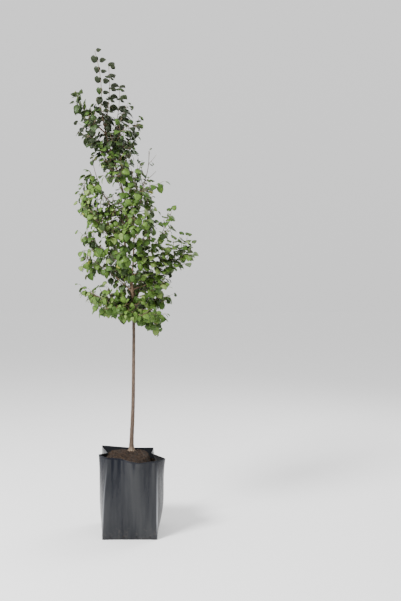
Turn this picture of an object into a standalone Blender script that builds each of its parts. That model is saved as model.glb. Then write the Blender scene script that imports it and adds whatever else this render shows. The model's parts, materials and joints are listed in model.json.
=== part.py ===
"""A young linden tree in a black polythene nursery bag, in metres, +Z up.

The bag stands on the ground with the centre of its underside at the origin, and its front panel
faces -Y. The stem rises from a low mound of soil, forks at chest height and leans to -X higher up.
Every side branch is one path: its inner share is a bare bough, and a mass of twigs and leaves goes
on from there. Bearings are in degrees from +X, anticlockwise seen from above.
"""

import math
import random
from collections import namedtuple

import bmesh
import bpy
from mathutils import Matrix, Vector
from mathutils.bvhtree import BVHTree

UP = Vector((0, 0, 1))
SEAT = 0.0003  # clearance between two pieces that touch
CLEAR = 0.0012  # clearance kept between the leaves of one mass and everything beside it
WELD = 1e-6  # points of one piece this close are one

# The bag: a gusseted tube of film with a welded bottom.
PANEL_WIDTH = 0.267
BAG_DEPTH = 0.250
BAG_HEIGHT = 0.386
FILM = 0.001
RIM_SAG = 0.008  # how far the front rim hangs below the back one
CORNER_LIFT = 0.010  # the back left corner of the rim stands up
BULGE_LEFT = 0.016
BULGE_RIGHT = 0.033
EAR_FLARE_LEFT = 0.007  # how much further the gussets bulge at the rim
EAR_FLARE_RIGHT = 0.006
FOLD_IN = 0.024  # how far the side gussets fold in at the rim
CREASE_IN = 0.026  # how far the front left crease leans in at the rim
CREASE_BACK = 0.034  # and how far back
BELLY = 0.030  # how far the front rim stands out between its creases
REAR_BELLY = 0.004
REAR_SHIFT = 0.012  # the back panel stands this far to the left at the rim
# Shares of the height at which the film is shaped; the soil is filled to the last but one.
BAG_LEVELS = (0.0, 0.05, 0.14, 0.30, 0.50, 0.68, 0.84, 0.95, 1.0)
# Points of the bag's outline, counted from the front left crease, and their share of the sag.
FRONT_DIP = {1: 0.3, 2: 1.0, 3: 0.9, 4: 0.5, 5: 0.4}
BACK_LEFT = 9
DRAIN_RADIUS = 0.003
DRAIN_HEIGHT = 0.013
DRAIN_PITCH = 0.064
DRAINS_PER_PANEL = 4
PUNCH_DEPTH = 0.025

# The soil, mounded round the stem.
SOIL_CLEAR = 0.00045  # clearance between the soil and the film
SOIL_TOP = 0.400
SEAT_RADIUS = 0.026  # the flat that the stem stands on
MOUND = ((0.62, 0.5), (0.34, 0.85))  # shares of the way out, and of the mound's rise there

# The stem: height, x and y of its middle, and its radius.
Station = namedtuple("Station", "z x y radius")
STEM = (
    Station(SOIL_TOP + SEAT, 0.007, 0.000, 0.0165),
    Station(0.418, 0.007, 0.000, 0.0128),
    Station(0.450, 0.008, 0.000, 0.0106),
    Station(0.620, 0.015, 0.002, 0.0092),
    Station(0.850, 0.018, 0.004, 0.0081),
    Station(1.050, 0.018, 0.002, 0.0074),
    Station(1.230, 0.008, 0.000, 0.0074),
    Station(1.340, -0.016, -0.004, 0.0052),
    Station(1.430, -0.025, -0.006, 0.0048),
    Station(1.600, -0.015, 0.000, 0.0043),
    Station(1.780, -0.059, 0.008, 0.0037),
    Station(1.970, -0.116, 0.004, 0.0029),
    Station(2.115, -0.146, 0.000, 0.0021),
)
STEM_RINGS = 40
STEM_SIDES_RESOLUTION = 4  # 12 sides

# Branches. The bough is the first share of the path; the foliage mass has the rest.
Branch = namedtuple(
    "Branch", "name leave bearing reach rise bow bare twigs droop facing ranks leafing parent"
)


def branch(
    name, leave, bearing, reach, rise, bow=0.10, bare=0.0, twigs=4, droop=0.6,
    facing=None, ranks=70, leafing=1.0, parent=None,
):
    """leave, reach and rise are metres; bow is the sag of the path as a share of its chord."""
    facing = bearing if facing is None else facing
    return Branch(
        name, leave, bearing, reach, rise, bow, bare, twigs, droop, facing, ranks, leafing, parent
    )


SECOND_LEADER = branch(
    "second_leader", 1.238, 180, 0.038, 0.690, -0.041, 0.62, 3, 0.6, facing=340
)
BRANCHES = (
    branch("low_left", 1.130, 188, 0.215, 0.060, 0.06, 0.30, 4, 0.9),
    branch("low_front_left", 1.115, 222, 0.190, -0.010, -0.05, 0.0, 4, 0.9),
    branch("low_front", 1.085, 268, 0.150, 0.010, -0.05, 0.0, 3, 0.9),
    branch("low_front_right", 1.105, 325, 0.145, -0.010, -0.04, 0.0, 3, 0.8),
    branch("low_right", 1.130, 8, 0.150, 0.045, 0.04, 0.25, 4, 0.7),
    branch("drooping_right", 1.070, 352, 0.130, -0.050, -0.08, 0.0, 1, 0.9),
    branch("low_back_right", 1.120, 58, 0.180, 0.040, 0.04, 0.0, 3, 0.7),
    branch("low_back", 1.095, 100, 0.175, 0.030, 0.04, 0.0, 3, 0.8),
    branch("low_back_left", 1.140, 142, 0.180, 0.030, 0.04, 0.0, 4, 0.8),
    branch("arching_left", 1.190, 180, 0.235, 0.170, -0.05, 0.40, 3, 0.9),
    branch("mid_front_right", 1.165, 328, 0.170, 0.060, 0.06, 0.0, 3, 0.7),
    branch("mid_right", 1.178, 20, 0.150, 0.105, 0.08, 0.25, 3, 0.7),
    branch("far_right", 1.205, 2, 0.272, 0.198, 0.10, 0.33, 4, 0.3),
    branch("mid_back", 1.195, 75, 0.190, 0.140, 0.06, 0.0, 4, 0.7),
    branch("mid_back_left", 1.255, 128, 0.180, 0.150, 0.06, 0.0, 3, 0.7),
    branch("mid_front", 1.270, 252, 0.165, 0.110, 0.06, 0.0, 3, 0.9),
    branch("rising_right", 1.320, 352, 0.160, 0.225, 0.09, 0.30, 4, 0.5, parent=SECOND_LEADER),
    branch("level_left", 1.370, 184, 0.190, 0.105, 0.12, 0.30, 4, 0.9),
    branch("front", 1.385, 285, 0.180, 0.170, 0.08, 0.0, 3, 0.8),
    branch("left_front", 1.420, 208, 0.190, 0.165, 0.08, 0.0, 4, 0.9),
    branch("left", 1.450, 172, 0.205, 0.215, 0.08, 0.25, 4, 0.9),
    branch("back", 1.465, 95, 0.180, 0.190, 0.08, 0.0, 3, 0.7),
    branch("inner_right", 1.400, 28, 0.090, 0.165, 0.10, 0.0, 3, 0.7, parent=SECOND_LEADER),
    branch("upright_right", 1.460, 5, 0.060, 0.205, 0.12, 0.30, 2, 0.6, parent=SECOND_LEADER),
    branch("bare_whip", 1.520, 176, 0.175, 0.355, 0.08, 0.55, 0, 0.5, leafing=0.6),
    branch("left_cluster", 1.575, 190, 0.185, 0.210, 0.08, 0.30, 3, 0.8),
    branch("inner_front", 1.560, 295, 0.120, 0.160, 0.10, 0.0, 3, 0.8, parent=SECOND_LEADER),
    branch("inner_back", 1.600, 65, 0.120, 0.160, 0.10, 0.0, 3, 0.7, parent=SECOND_LEADER),
    branch("side_spray", 1.640, 350, 0.055, 0.245, 0.10, 0.25, 2, 0.4, parent=SECOND_LEADER),
    branch("upper_front", 1.680, 245, 0.110, 0.150, 0.10, 0.0, 3, 0.6),
    branch("upper_back", 1.735, 105, 0.110, 0.150, 0.10, 0.0, 3, 0.6),
    branch("upper_left", 1.775, 203, 0.085, 0.115, 0.08, 0.0, 3, 0.8),
    branch("top_front", 1.835, 285, 0.095, 0.160, 0.10, 0.0, 3, 0.7),
    branch("top_back", 1.865, 85, 0.100, 0.155, 0.10, 0.0, 3, 0.7),
    branch("fork_right", 1.850, 8, 0.110, 0.205, 0.05, 0.30, 0, 0.6, ranks=50),
    branch("shoulder_left", 1.905, 188, 0.125, 0.125, 0.08, 0.0, 4, 0.8),
    branch("right_whip", 1.930, 22, 0.042, 0.280, 0.06, 0.0, 1, 0.5, facing=350, ranks=50),
    branch("left_whip", 1.985, 168, 0.145, 0.195, 0.05, 0.25, 1, 0.8),
    branch("middle_whip", 2.010, 325, 0.019, 0.300, 0.05, 0.0, 0, 0.5, facing=350, ranks=50),
)
LEADER = branch("leader", STEM[-1].z, 184, 0.041, 0.262, 0.02, 0.0, 0, 0.3, facing=270, ranks=85)

BOUGH_RADIUS = 0.0034
LEADER_BOUGH_RADIUS = 0.0046
FOLIAGE_STEM_RADIUS = 0.0026
SHORTEST_TAPER = 0.3  # a bough tapers over its own share of the path, but at least over this one
SHOOT_TIP_RADIUS = 0.0013
PATH_STEPS = 6
ROOT_HALVINGS = 20
SLIVER = 1e-5  # points this close after a union are one
TWIG_LENGTH = 0.105
TWIG_RADIUS = 0.0020
TWIG_LENGTHS = (0.8, 1.2)  # shares of that length, from draw to draw
TWIG_SHORTENS = 0.6  # how much of it the last twig has lost
TWIG_ANGLE = math.radians(48)
TWIG_LIFT = 0.15
TWIGS_FROM = 0.12  # the twigs leave the mass's own stem from this share of it, and over the next
TWIGS_OVER = 0.74
LEAF_SPACING = 0.046
LEAF_LENGTH = 0.062
LEAF_WIDTH = 0.046
LEAF_THICKNESS = 0.0016
LEAF_SUNK = 0.0006  # how far a leaf's root reaches past the middle of its twig
# Corners of the blade's edge, along and across, as shares of its length and width.
LEAF_EDGE = ((0, 0), (0.52, 0.5), (1, 0), (0.52, -0.5))
VEIN_RISE = 0.30  # where along the blade it is thickest
RANKS_VARY = 25  # degrees by which a leaf or twig may leave its rank
LEAF_TILT = 0.7  # radians by which a blade may turn about its midrib
LEAF_SIZES = (0.85, 1.08)
LEAF_TRIES = 5  # a leaf that touches another is turned, and after this many tries skipped
TWIG_BARE = 0.014  # bare lengths at the foot of a twig and of a mass's own stem
STEM_BARE = 0.030
TIP_INSET = 0.002  # the last leaf's distance from the end of its shoot

SHADES = {
    "bag": ((0.035, 0.037, 0.042, 1), 0.35),
    "soil": ((0.035, 0.020, 0.012, 1), 0.95),
    "bark": ((0.170, 0.105, 0.070, 1), 0.75),
    "leaf": ((0.060, 0.140, 0.030, 1), 0.50),
}


def clear_scene():
    for obj in list(bpy.data.objects):
        bpy.data.objects.remove(obj, do_unlink=True)


def new_collection(name, hidden=False):
    made = bpy.data.collections.new(name)
    made.hide_render = hidden
    bpy.context.scene.collection.children.link(made)
    return made


def shade(name):
    """The Principled material of one part, made once."""
    made = bpy.data.materials.get(name)
    if made is None:
        colour, roughness = SHADES[name]
        made = bpy.data.materials.new(name)
        made.use_nodes = True
        shader = made.node_tree.nodes["Principled BSDF"]
        shader.inputs["Base Color"].default_value = colour
        shader.inputs["Roughness"].default_value = roughness
    return made


def add_object(name, mesh, material, collection):
    made = bpy.data.objects.new(name, mesh)
    made.data.materials.clear()
    made.data.materials.append(shade(material))
    collection.objects.link(made)
    return made


def mesh_from(bm, name):
    mesh = bpy.data.meshes.new(name)
    bm.to_mesh(mesh)
    bm.free()
    return mesh


def evaluated_mesh(obj):
    """The object's finished mesh in world space, its loose caps welded."""
    graph = bpy.context.evaluated_depsgraph_get()
    mesh = bpy.data.meshes.new_from_object(obj.evaluated_get(graph))
    mesh.transform(obj.matrix_world)
    bm = bmesh.new()
    bm.from_mesh(mesh)
    bmesh.ops.remove_doubles(bm, verts=bm.verts, dist=WELD)
    bm.to_mesh(mesh)
    bm.free()
    return mesh


# The bag and the soil


def blend(low, middle, high, share):
    """A value that goes from low at the base through middle at half height to high at the rim."""
    if share < 0.5:
        return low + (middle - low) * math.sin(math.pi * share)
    return middle + (high - middle) * (2 * share - 1) ** 3


def bag_outline(share):
    """The bag's outline at a share of its height, anticlockwise from the front left crease."""
    half = PANEL_WIDTH / 2
    front = -BAG_DEPTH / 2
    back = BAG_DEPTH / 2
    belly = BELLY * share**3
    left_ear = -half - blend(0.002, BULGE_LEFT, BULGE_LEFT + EAR_FLARE_LEFT, share)
    right_ear = half + blend(0.001, BULGE_RIGHT, BULGE_RIGHT + EAR_FLARE_RIGHT, share)
    left_fold = -half - blend(0.001, BULGE_LEFT * 0.85, -FOLD_IN * 0.8, share)
    right_fold = half + blend(0.001, BULGE_RIGHT * 0.8, -FOLD_IN, share)
    return (
        (-half + CREASE_IN * share**2, front + CREASE_BACK * share**2),
        (-0.045, front + 0.020 * share**3),
        (0.022, front - belly),
        (0.090, front - 0.6 * belly),
        (half - 0.002, front - 0.3 * belly),
        (right_ear, blend(-0.050, -0.050, -0.096, share)),
        (right_fold, blend(0.030, 0.030, 0.006, share)),
        (half - REAR_SHIFT * share, back),
        (0.0, back + REAR_BELLY),
        (-half - REAR_SHIFT * share, back + REAR_SHIFT / 2 * share),
        (left_fold, blend(0.030, 0.030, 0.008, share)),
        (left_ear, blend(-0.050, -0.050, -0.026, share)),
    )


def rim_drop(index):
    """How far one point of the outline lies below the nominal rim."""
    return RIM_SAG * FRONT_DIP.get(index, 0) - (CORNER_LIFT if index == BACK_LEFT else 0)


def inset(outline, distance):
    """The outline drawn in by a distance, measured square to its sides."""
    made = []
    count = len(outline)
    for i, point in enumerate(outline):
        here = Vector(point)
        before = (here - Vector(outline[i - 1])).normalized()
        after = (Vector(outline[(i + 1) % count]) - here).normalized()
        inward = [Vector((-d.y, d.x)) for d in (before, after)]
        bisector = (inward[0] + inward[1]).normalized()
        made.append(here + bisector * distance / bisector.dot(inward[0]))
    return made


def ring_points(level, distance):
    """Points round the bag at a share of its height, drawn in by a distance."""
    made = []
    for i, point in enumerate(inset(bag_outline(level), distance)):
        made.append(Vector((point.x, point.y, BAG_HEIGHT * level - rim_drop(i) * level**4)))
    return made


def add_ring(bm, points):
    return [bm.verts.new(point) for point in points]


def skin(bm, lower, upper, facing_in=False):
    """The band between two rings, its bent quads split the same way on every loft."""
    turn = -1 if facing_in else 1
    count = len(lower)
    for i in range(count):
        j = (i + 1) % count
        bm.faces.new((lower[i], lower[j], upper[j])[::turn])
        bm.faces.new((lower[i], upper[j], upper[i])[::turn])


def make_bag(collection, cutters):
    """The film: an outer and an inner loft, closed over the rim and at the flat bottom."""
    bm = bmesh.new()
    floor = [Vector((point.x, point.y, FILM)) for point in ring_points(0, FILM)]
    outside = [add_ring(bm, ring_points(level, 0)) for level in BAG_LEVELS]
    inside = [add_ring(bm, floor)]
    inside += [add_ring(bm, ring_points(level, FILM)) for level in BAG_LEVELS[1:]]
    for i in range(len(BAG_LEVELS) - 1):
        skin(bm, outside[i], outside[i + 1])
        skin(bm, inside[i], inside[i + 1], facing_in=True)
    skin(bm, outside[-1], inside[-1])
    bm.faces.new(reversed(outside[0]))
    bm.faces.new(inside[0])
    bag = add_object("bag", mesh_from(bm, "bag"), "bag", collection)
    bm = bmesh.new()
    first = -DRAIN_PITCH * (DRAINS_PER_PANEL - 1) / 2
    for panel in (-1, 1):
        for i in range(DRAINS_PER_PANEL):
            place = Matrix.Translation(
                (first + i * DRAIN_PITCH, panel * BAG_DEPTH / 2, DRAIN_HEIGHT)
            ) @ Matrix.Rotation(math.pi / 2, 4, "X")
            bmesh.ops.create_cone(
                bm, cap_ends=True, segments=8, radius1=DRAIN_RADIUS, radius2=DRAIN_RADIUS,
                depth=PUNCH_DEPTH, matrix=place,
            )
    drains = add_object("drain_punches", mesh_from(bm, "drains"), "bag", cutters)
    drains.display_type = "WIRE"
    drains.hide_render = True
    punch = bag.modifiers.new("drain holes", "BOOLEAN")
    punch.object = drains
    return bag


def make_soil(collection):
    """The soil: a loft that fills the bag, mounded up to the flat round the stem."""
    bm = bmesh.new()
    draw_in = FILM + SOIL_CLEAR
    levels = [ring_points(level, draw_in) for level in BAG_LEVELS]
    bottom = [Vector((point.x, point.y, draw_in)) for point in levels[0]]
    edge = levels[-2]
    middle = Vector((STEM[0].x, STEM[0].y, SOIL_TOP))
    mound = []
    for share, rise in MOUND:
        made = [middle.lerp(point, share) for point in edge]
        for point, rim in zip(made, edge):
            point.z = rim.z + (SOIL_TOP - rim.z) * rise
        mound.append(made)
    outward = [Vector((p.x, p.y, middle.z)) - middle for p in edge]
    seat = [middle + way.normalized() * SEAT_RADIUS for way in outward]
    rings = [add_ring(bm, points) for points in (bottom, *levels[1:-1], *mound, seat)]
    for lower, upper in zip(rings, rings[1:]):
        skin(bm, lower, upper)
    bm.faces.new(reversed(rings[0]))
    bm.faces.new(rings[-1])
    bmesh.ops.triangulate(bm, faces=bm.faces)
    return add_object("soil", mesh_from(bm, "soil"), "soil", collection)


# The stem and the boughs


def stem_at(height):
    """The middle and radius of the stem at a height, on a smooth curve through its stations."""
    for i in range(len(STEM) - 1):
        if height <= STEM[i + 1].z or i == len(STEM) - 2:
            break
    before, start, end, after = (
        STEM[max(0, min(len(STEM) - 1, k))] for k in range(i - 1, i + 3)
    )
    span = end.z - start.z
    t = (height - start.z) / span

    def along(axis):
        slope_in = (getattr(end, axis) - getattr(before, axis)) / (end.z - before.z)
        slope_out = (getattr(after, axis) - getattr(start, axis)) / (after.z - start.z)
        return (
            (2 * t**3 - 3 * t**2 + 1) * getattr(start, axis)
            + (t**3 - 2 * t**2 + t) * span * slope_in
            + (3 * t**2 - 2 * t**3) * getattr(end, axis)
            + (t**3 - t**2) * span * slope_out
        )

    radius = start.radius + (end.radius - start.radius) * t
    return Vector((along("x"), along("y"), height)), radius


def tube(name, points, radii, resolution):
    """The mesh of a tapering limb along points, from a curve with a bevel and filled caps."""
    curve = bpy.data.curves.new(name, "CURVE")
    curve.dimensions = "3D"
    curve.bevel_depth = 1
    curve.bevel_resolution = resolution
    curve.use_fill_caps = True
    spline = curve.splines.new("POLY")
    spline.points.add(len(points) - 1)
    for spot, point, radius in zip(spline.points, points, radii):
        spot.co = (*point, 1)
        spot.radius = radius
    holder = bpy.data.objects.new(name, curve)
    bpy.context.scene.collection.objects.link(holder)
    mesh = evaluated_mesh(holder)
    bpy.data.objects.remove(holder)
    bpy.data.curves.remove(curve)
    return mesh


def stem_heights():
    """Heights of the stem's rings, closer together in the root flare."""
    flare = [station.z for station in STEM[:3]]
    rest = STEM[-1].z - flare[-1]
    return flare + [flare[-1] + rest * (i + 1) / STEM_RINGS for i in range(STEM_RINGS)]


def stem_mesh(name, extra):
    places = [stem_at(height) for height in stem_heights()]
    points = [point for point, _ in places]
    radii = [radius + extra for _, radius in places]
    if extra:
        points.insert(0, points[0] - UP * extra)
        radii.insert(0, radii[0])
    return tube(name, points, radii, STEM_SIDES_RESOLUTION)


def root_of(item):
    """Where a branch leaves the middle of its parent: the stem, or another branch's bough."""
    if item.parent is None:
        return stem_at(item.leave)[0]
    path = branch_path(item.parent)
    low, high = 0.0, 1.0
    for _ in range(ROOT_HALVINGS):
        share = (low + high) / 2
        low, high = (share, high) if path(share).z < item.leave else (low, share)
    return path(share)


def branch_path(item):
    """The whole path of a branch, as a function of the share of its length."""
    start = root_of(item)
    angle = math.radians(item.bearing)
    outward = Vector((math.cos(angle), math.sin(angle), 0))
    chord = outward * item.reach + UP * item.rise
    hang = (outward * item.rise - UP * item.reach).normalized()
    middle = start + chord / 2 + hang * 2 * item.bow * chord.length
    end = start + chord

    def at(share):
        return start * (1 - share) ** 2 + middle * 2 * share * (1 - share) + end * share**2

    return at


def difference(obj, cutter):
    cut = obj.modifiers.new("seat on the stem", "BOOLEAN")
    cut.operation = "DIFFERENCE"
    cut.object = cutter


def bough_radius(item, share):
    """Radius of the branch at a share of its path, down to the foliage mass's own stem."""
    root = LEADER_BOUGH_RADIUS if item is SECOND_LEADER else BOUGH_RADIUS
    return root + (FOLIAGE_STEM_RADIUS - root) * min(1, share / max(item.bare, SHORTEST_TAPER))


def bough_mesh(item, extra):
    path = branch_path(item)
    shares = [item.bare * i / PATH_STEPS for i in range(PATH_STEPS + 1)]
    points = [path(share) for share in shares]
    radii = [bough_radius(item, share) + extra for share in shares]
    return tube(item.name, points, radii, 1)


def make_cutter(name, mesh, cutters):
    """A limb swollen by the clearance, which seats what leaves that limb."""
    made = add_object(name, mesh, "bark", cutters)
    made.display_type = "WIRE"
    made.hide_render = True
    return made


# The foliage masses


def leaf_mesh():
    """One leaf of 8 faces: a four-sided bipyramid drawn out to the blade's edge, its root at 0."""
    bm = bmesh.new()
    bmesh.ops.create_uvsphere(bm, u_segments=len(LEAF_EDGE), v_segments=2, radius=1)
    rim = [vertex for vertex in bm.verts if abs(vertex.co.z) < 0.5]
    rim.sort(key=lambda vertex: math.atan2(vertex.co.y, vertex.co.x))
    for vertex, (along, across) in zip(rim, LEAF_EDGE):
        vertex.co = (along * LEAF_LENGTH - LEAF_SUNK, -across * LEAF_WIDTH, 0)
    for vertex in bm.verts:
        if vertex not in rim:
            side = math.copysign(LEAF_THICKNESS / 2, vertex.co.z)
            vertex.co = (VEIN_RISE * LEAF_LENGTH, 0, side)
    bmesh.ops.recalc_face_normals(bm, faces=bm.faces)
    return mesh_from(bm, "leaf")


def side_of(direction, facing, ranks, left):
    """The way a leaf or a side twig leaves its shoot, on one of the shoot's two ranks."""
    angle = math.radians(facing)
    outward = Vector((math.cos(angle), math.sin(angle), 0))
    hang = outward * direction.z - UP * max(0.0, direction.dot(outward))
    hang -= direction * hang.dot(direction)
    if hang.length < WELD:
        hang = outward
    turn = Matrix.Rotation(math.radians(ranks if left else -ranks), 3, direction)
    return turn @ hang.normalized()


def shoots(item):
    """The shoots of a mass as (points, root radius, tip radius): its stem and its side twigs.

    The draws are made in the same order whatever is skipped later.
    """
    draw = random.Random(item.name)
    path = branch_path(item)
    first = item.bare
    shares = [first + (1 - first) * i / PATH_STEPS for i in range(PATH_STEPS + 1)]
    stem = [path(share) for share in shares]
    if first or item is LEADER:
        stem[0] += (stem[1] - stem[0]).normalized() * SEAT
    whole = path_length(stem)
    made = [(stem, FOLIAGE_STEM_RADIUS, SHOOT_TIP_RADIUS)]
    for i in range(item.twigs):
        share = TWIGS_FROM + TWIGS_OVER * (i + draw.uniform(-0.2, 0.2) + 0.5) / item.twigs
        root, ahead = along_shoot(stem, share * whole)
        side = side_of(ahead, item.facing, item.ranks + draw.uniform(-RANKS_VARY, RANKS_VARY), i % 2 == 0)
        angle = TWIG_ANGLE + draw.uniform(-0.2, 0.2)
        heading = ahead * math.cos(angle) + side * math.sin(angle) + UP * TWIG_LIFT
        length = TWIG_LENGTH * (1.1 - TWIG_SHORTENS * share) * draw.uniform(*TWIG_LENGTHS)
        tip = root + heading.normalized() * length
        made.append(([root, tip], TWIG_RADIUS, SHOOT_TIP_RADIUS))
    return made


def path_length(points):
    return sum((end - start).length for start, end in zip(points, points[1:]))


def along_shoot(points, distance):
    """The point and direction at a distance along a shoot."""
    for start, end in zip(points, points[1:]):
        step = (end - start).length
        if distance <= step or end is points[-1]:
            direction = (end - start) / step
            return start + direction * min(distance, step), direction
        distance -= step
    raise ValueError("a shoot needs two points")


def leaf_place(item, root, ahead, left, last, draw):
    """The matrix of one leaf that leaves its shoot at root, on one of the shoot's two ranks."""
    side = side_of(ahead, item.facing, item.ranks + draw.uniform(-RANKS_VARY, RANKS_VARY), left)
    axis = side * 0.9 + ahead * (2.0 if last else 0.5) - UP * item.droop
    axis += Vector([draw.uniform(-0.3, 0.3) for _ in range(3)])
    axis.normalize()
    middle = stem_at(min(root.z, STEM[-1].z))[0]
    outward = Vector((root.x - middle.x, root.y - middle.y, 0)).normalized()
    face = UP + outward * 0.6
    face -= axis * face.dot(axis)
    face = Matrix.Rotation(draw.uniform(-LEAF_TILT, LEAF_TILT), 3, axis) @ face.normalized()
    basis = Matrix((axis, face.cross(axis), face)).transposed() * draw.uniform(*LEAF_SIZES)
    return Matrix.Translation(root) @ basis.to_4x4()


def twig_mesh(points, root_radius, tip_radius):
    """A straight three-sided twig, its root sunk into the shoot that carries it."""
    root, tip = points
    direction = (tip - root).normalized()
    depth = (tip - root).length
    turn = direction.to_track_quat("Z", "Y").to_matrix().to_4x4()
    place = Matrix.Translation((root + tip) / 2) @ turn
    bm = bmesh.new()
    bmesh.ops.create_cone(
        bm, cap_ends=True, segments=3, radius1=root_radius, radius2=tip_radius, depth=depth,
        matrix=place,
    )
    return mesh_from(bm, "twig")


def swollen(mesh, matrix, distance):
    """A search tree of a mesh whose points are pushed out along their normals."""
    bm = bmesh.new()
    bm.from_mesh(mesh)
    bmesh.ops.transform(bm, matrix=matrix, verts=bm.verts)
    bm.normal_update()
    for vertex in bm.verts:
        vertex.co += vertex.normal * distance
    tree = BVHTree.FromBMesh(bm)
    bm.free()
    return tree


def touches(tree, others):
    return any(tree.overlap(other) for other in others)


def mass_stem(item):
    """The tube of a mass's own stem."""
    points, root_radius, tip_radius = shoots(item)[0]
    steps = len(points) - 1
    radii = [root_radius + (tip_radius - root_radius) * i / steps for i in range(steps + 1)]
    return tube("leaves_" + item.name, points, radii, 0)


def make_mass(item, collection, cutter, neighbours, leaf):
    """One foliage mass: its stem, with side twigs and leaves that clear everything else, fused."""
    parts = new_collection("parts of " + item.name)
    draw = random.Random(item.name + " leaves")
    name = "leaves_" + item.name
    made = shoots(item)
    mass = add_object(name, mass_stem(item), "leaf", collection)
    if cutter:
        difference(mass, cutter)
    first = TWIG_BARE if cutter is None else STEM_BARE
    kept = [(made[0][0], first, swollen(mass.data, Matrix.Identity(4), 0))]
    for order, (points, thick, thin) in enumerate(made[1:]):
        twig = twig_mesh(points, thick, thin)
        if not touches(swollen(twig, Matrix.Identity(4), CLEAR), neighbours):
            add_object(f"{name} twig {order}", twig, "leaf", parts)
            kept.append((points, TWIG_BARE, swollen(twig, Matrix.Identity(4), 0)))
    blades = []
    for points, first, own in kept:
        beside = neighbours + [tree for _, _, tree in kept if tree is not own]
        length = path_length(points)
        count = max(1, round((length - first) / LEAF_SPACING))
        for i in range(count + 1):
            root, ahead = along_shoot(points, first + (length - first - TIP_INSET) * i / count)
            if draw.random() > item.leafing:
                continue
            for _ in range(LEAF_TRIES):
                place = leaf_place(item, root, ahead, i % 2 == 1, i == count, draw)
                tree = swollen(leaf, place, CLEAR)
                if touches(tree, beside) or touches(tree, blades):
                    continue
                blades.append(swollen(leaf, place, 0))
                blade = bpy.data.objects.new(f"{name} leaf", leaf)
                blade.matrix_world = place
                parts.objects.link(blade)
                break
    join = mass.modifiers.new("fuse", "BOOLEAN")
    join.operation = "UNION"
    join.operand_type = "COLLECTION"
    join.collection = parts
    apply_booleans(mass)
    for obj in list(parts.objects):
        bpy.data.objects.remove(obj)
    bpy.data.collections.remove(parts)
    return mass


def drop_scraps(mesh):
    """Keeps only the largest shell of faces: loose scraps go, and sealed hollows are filled."""
    bm = bmesh.new()
    bm.from_mesh(mesh)
    bmesh.ops.triangulate(bm, faces=bm.faces)
    bmesh.ops.remove_doubles(bm, verts=bm.verts, dist=SLIVER)
    bmesh.ops.dissolve_degenerate(bm, edges=bm.edges, dist=SLIVER)
    waiting = set(bm.faces)
    shells = []
    while waiting:
        edge_of_shell = [waiting.pop()]
        shell = list(edge_of_shell)
        while edge_of_shell:
            sides = [edge for edge in edge_of_shell.pop().edges if len(edge.link_faces) == 2]
            beside = {near for edge in sides for near in edge.link_faces}
            found = beside & waiting
            waiting -= found
            shell.extend(found)
            edge_of_shell.extend(found)
        shells.append(shell)
    shells.sort(key=len)
    for shell in shells[:-1]:
        bmesh.ops.delete(bm, geom=shell, context="FACES")
    bm.to_mesh(mesh)
    bm.free()


def is_closed(mesh):
    bm = bmesh.new()
    bm.from_mesh(mesh)
    closed = all(len(edge.link_faces) == 2 for edge in bm.edges)
    bm.free()
    return closed


def apply_booleans(obj):
    """Keeps the largest shell of what the object's Booleans make, with the solver that closes it."""
    for solver in ("EXACT", "MANIFOLD"):
        for boolean in obj.modifiers:
            boolean.solver = solver
        bpy.context.view_layer.update()
        mesh = evaluated_mesh(obj)
        drop_scraps(mesh)
        if is_closed(mesh):
            break
    obj.modifiers.clear()
    obj.data = mesh


def tree_of(obj):
    return swollen(evaluated_mesh(obj), Matrix.Identity(4), 0)


def make_tree():
    clear_scene()
    model = new_collection("linden tree in a nursery bag")
    cutters = new_collection("cutters", hidden=True)
    make_bag(model, cutters)
    make_soil(model)
    add_object("trunk", stem_mesh("trunk", 0), "bark", model)
    seats = {
        None: make_cutter("trunk clearance", stem_mesh("trunk clearance", SEAT), cutters),
        SECOND_LEADER: make_cutter(
            "second leader clearance", bough_mesh(SECOND_LEADER, SEAT), cutters
        ),
    }
    items = (SECOND_LEADER, *BRANCHES, LEADER)
    limbs = [tree_of(bpy.data.objects["trunk"])]
    for item in items:
        if item.bare:
            bough = add_object("bough_" + item.name, bough_mesh(item, 0), "bark", model)
            difference(bough, seats[item.parent])
            apply_booleans(bough)
            limbs.append(tree_of(bough))
    leaf = leaf_mesh()
    leaf.materials.append(shade("leaf"))
    stems = {item: swollen(mass_stem(item), Matrix.Identity(4), 0) for item in items}
    masses = []
    for item in items:
        beside = limbs + masses + [stems[other] for other in items if other is not item]
        rooted = not item.bare and item is not LEADER
        mass = make_mass(item, model, seats[item.parent] if rooted else None, beside, leaf)
        masses.append(tree_of(mass))


make_tree()
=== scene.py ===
import json
import math
import random
from typing import NamedTuple

import bmesh
import bpy
import numpy as np
from mathutils import Matrix, Quaternion, Vector, noise

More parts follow.
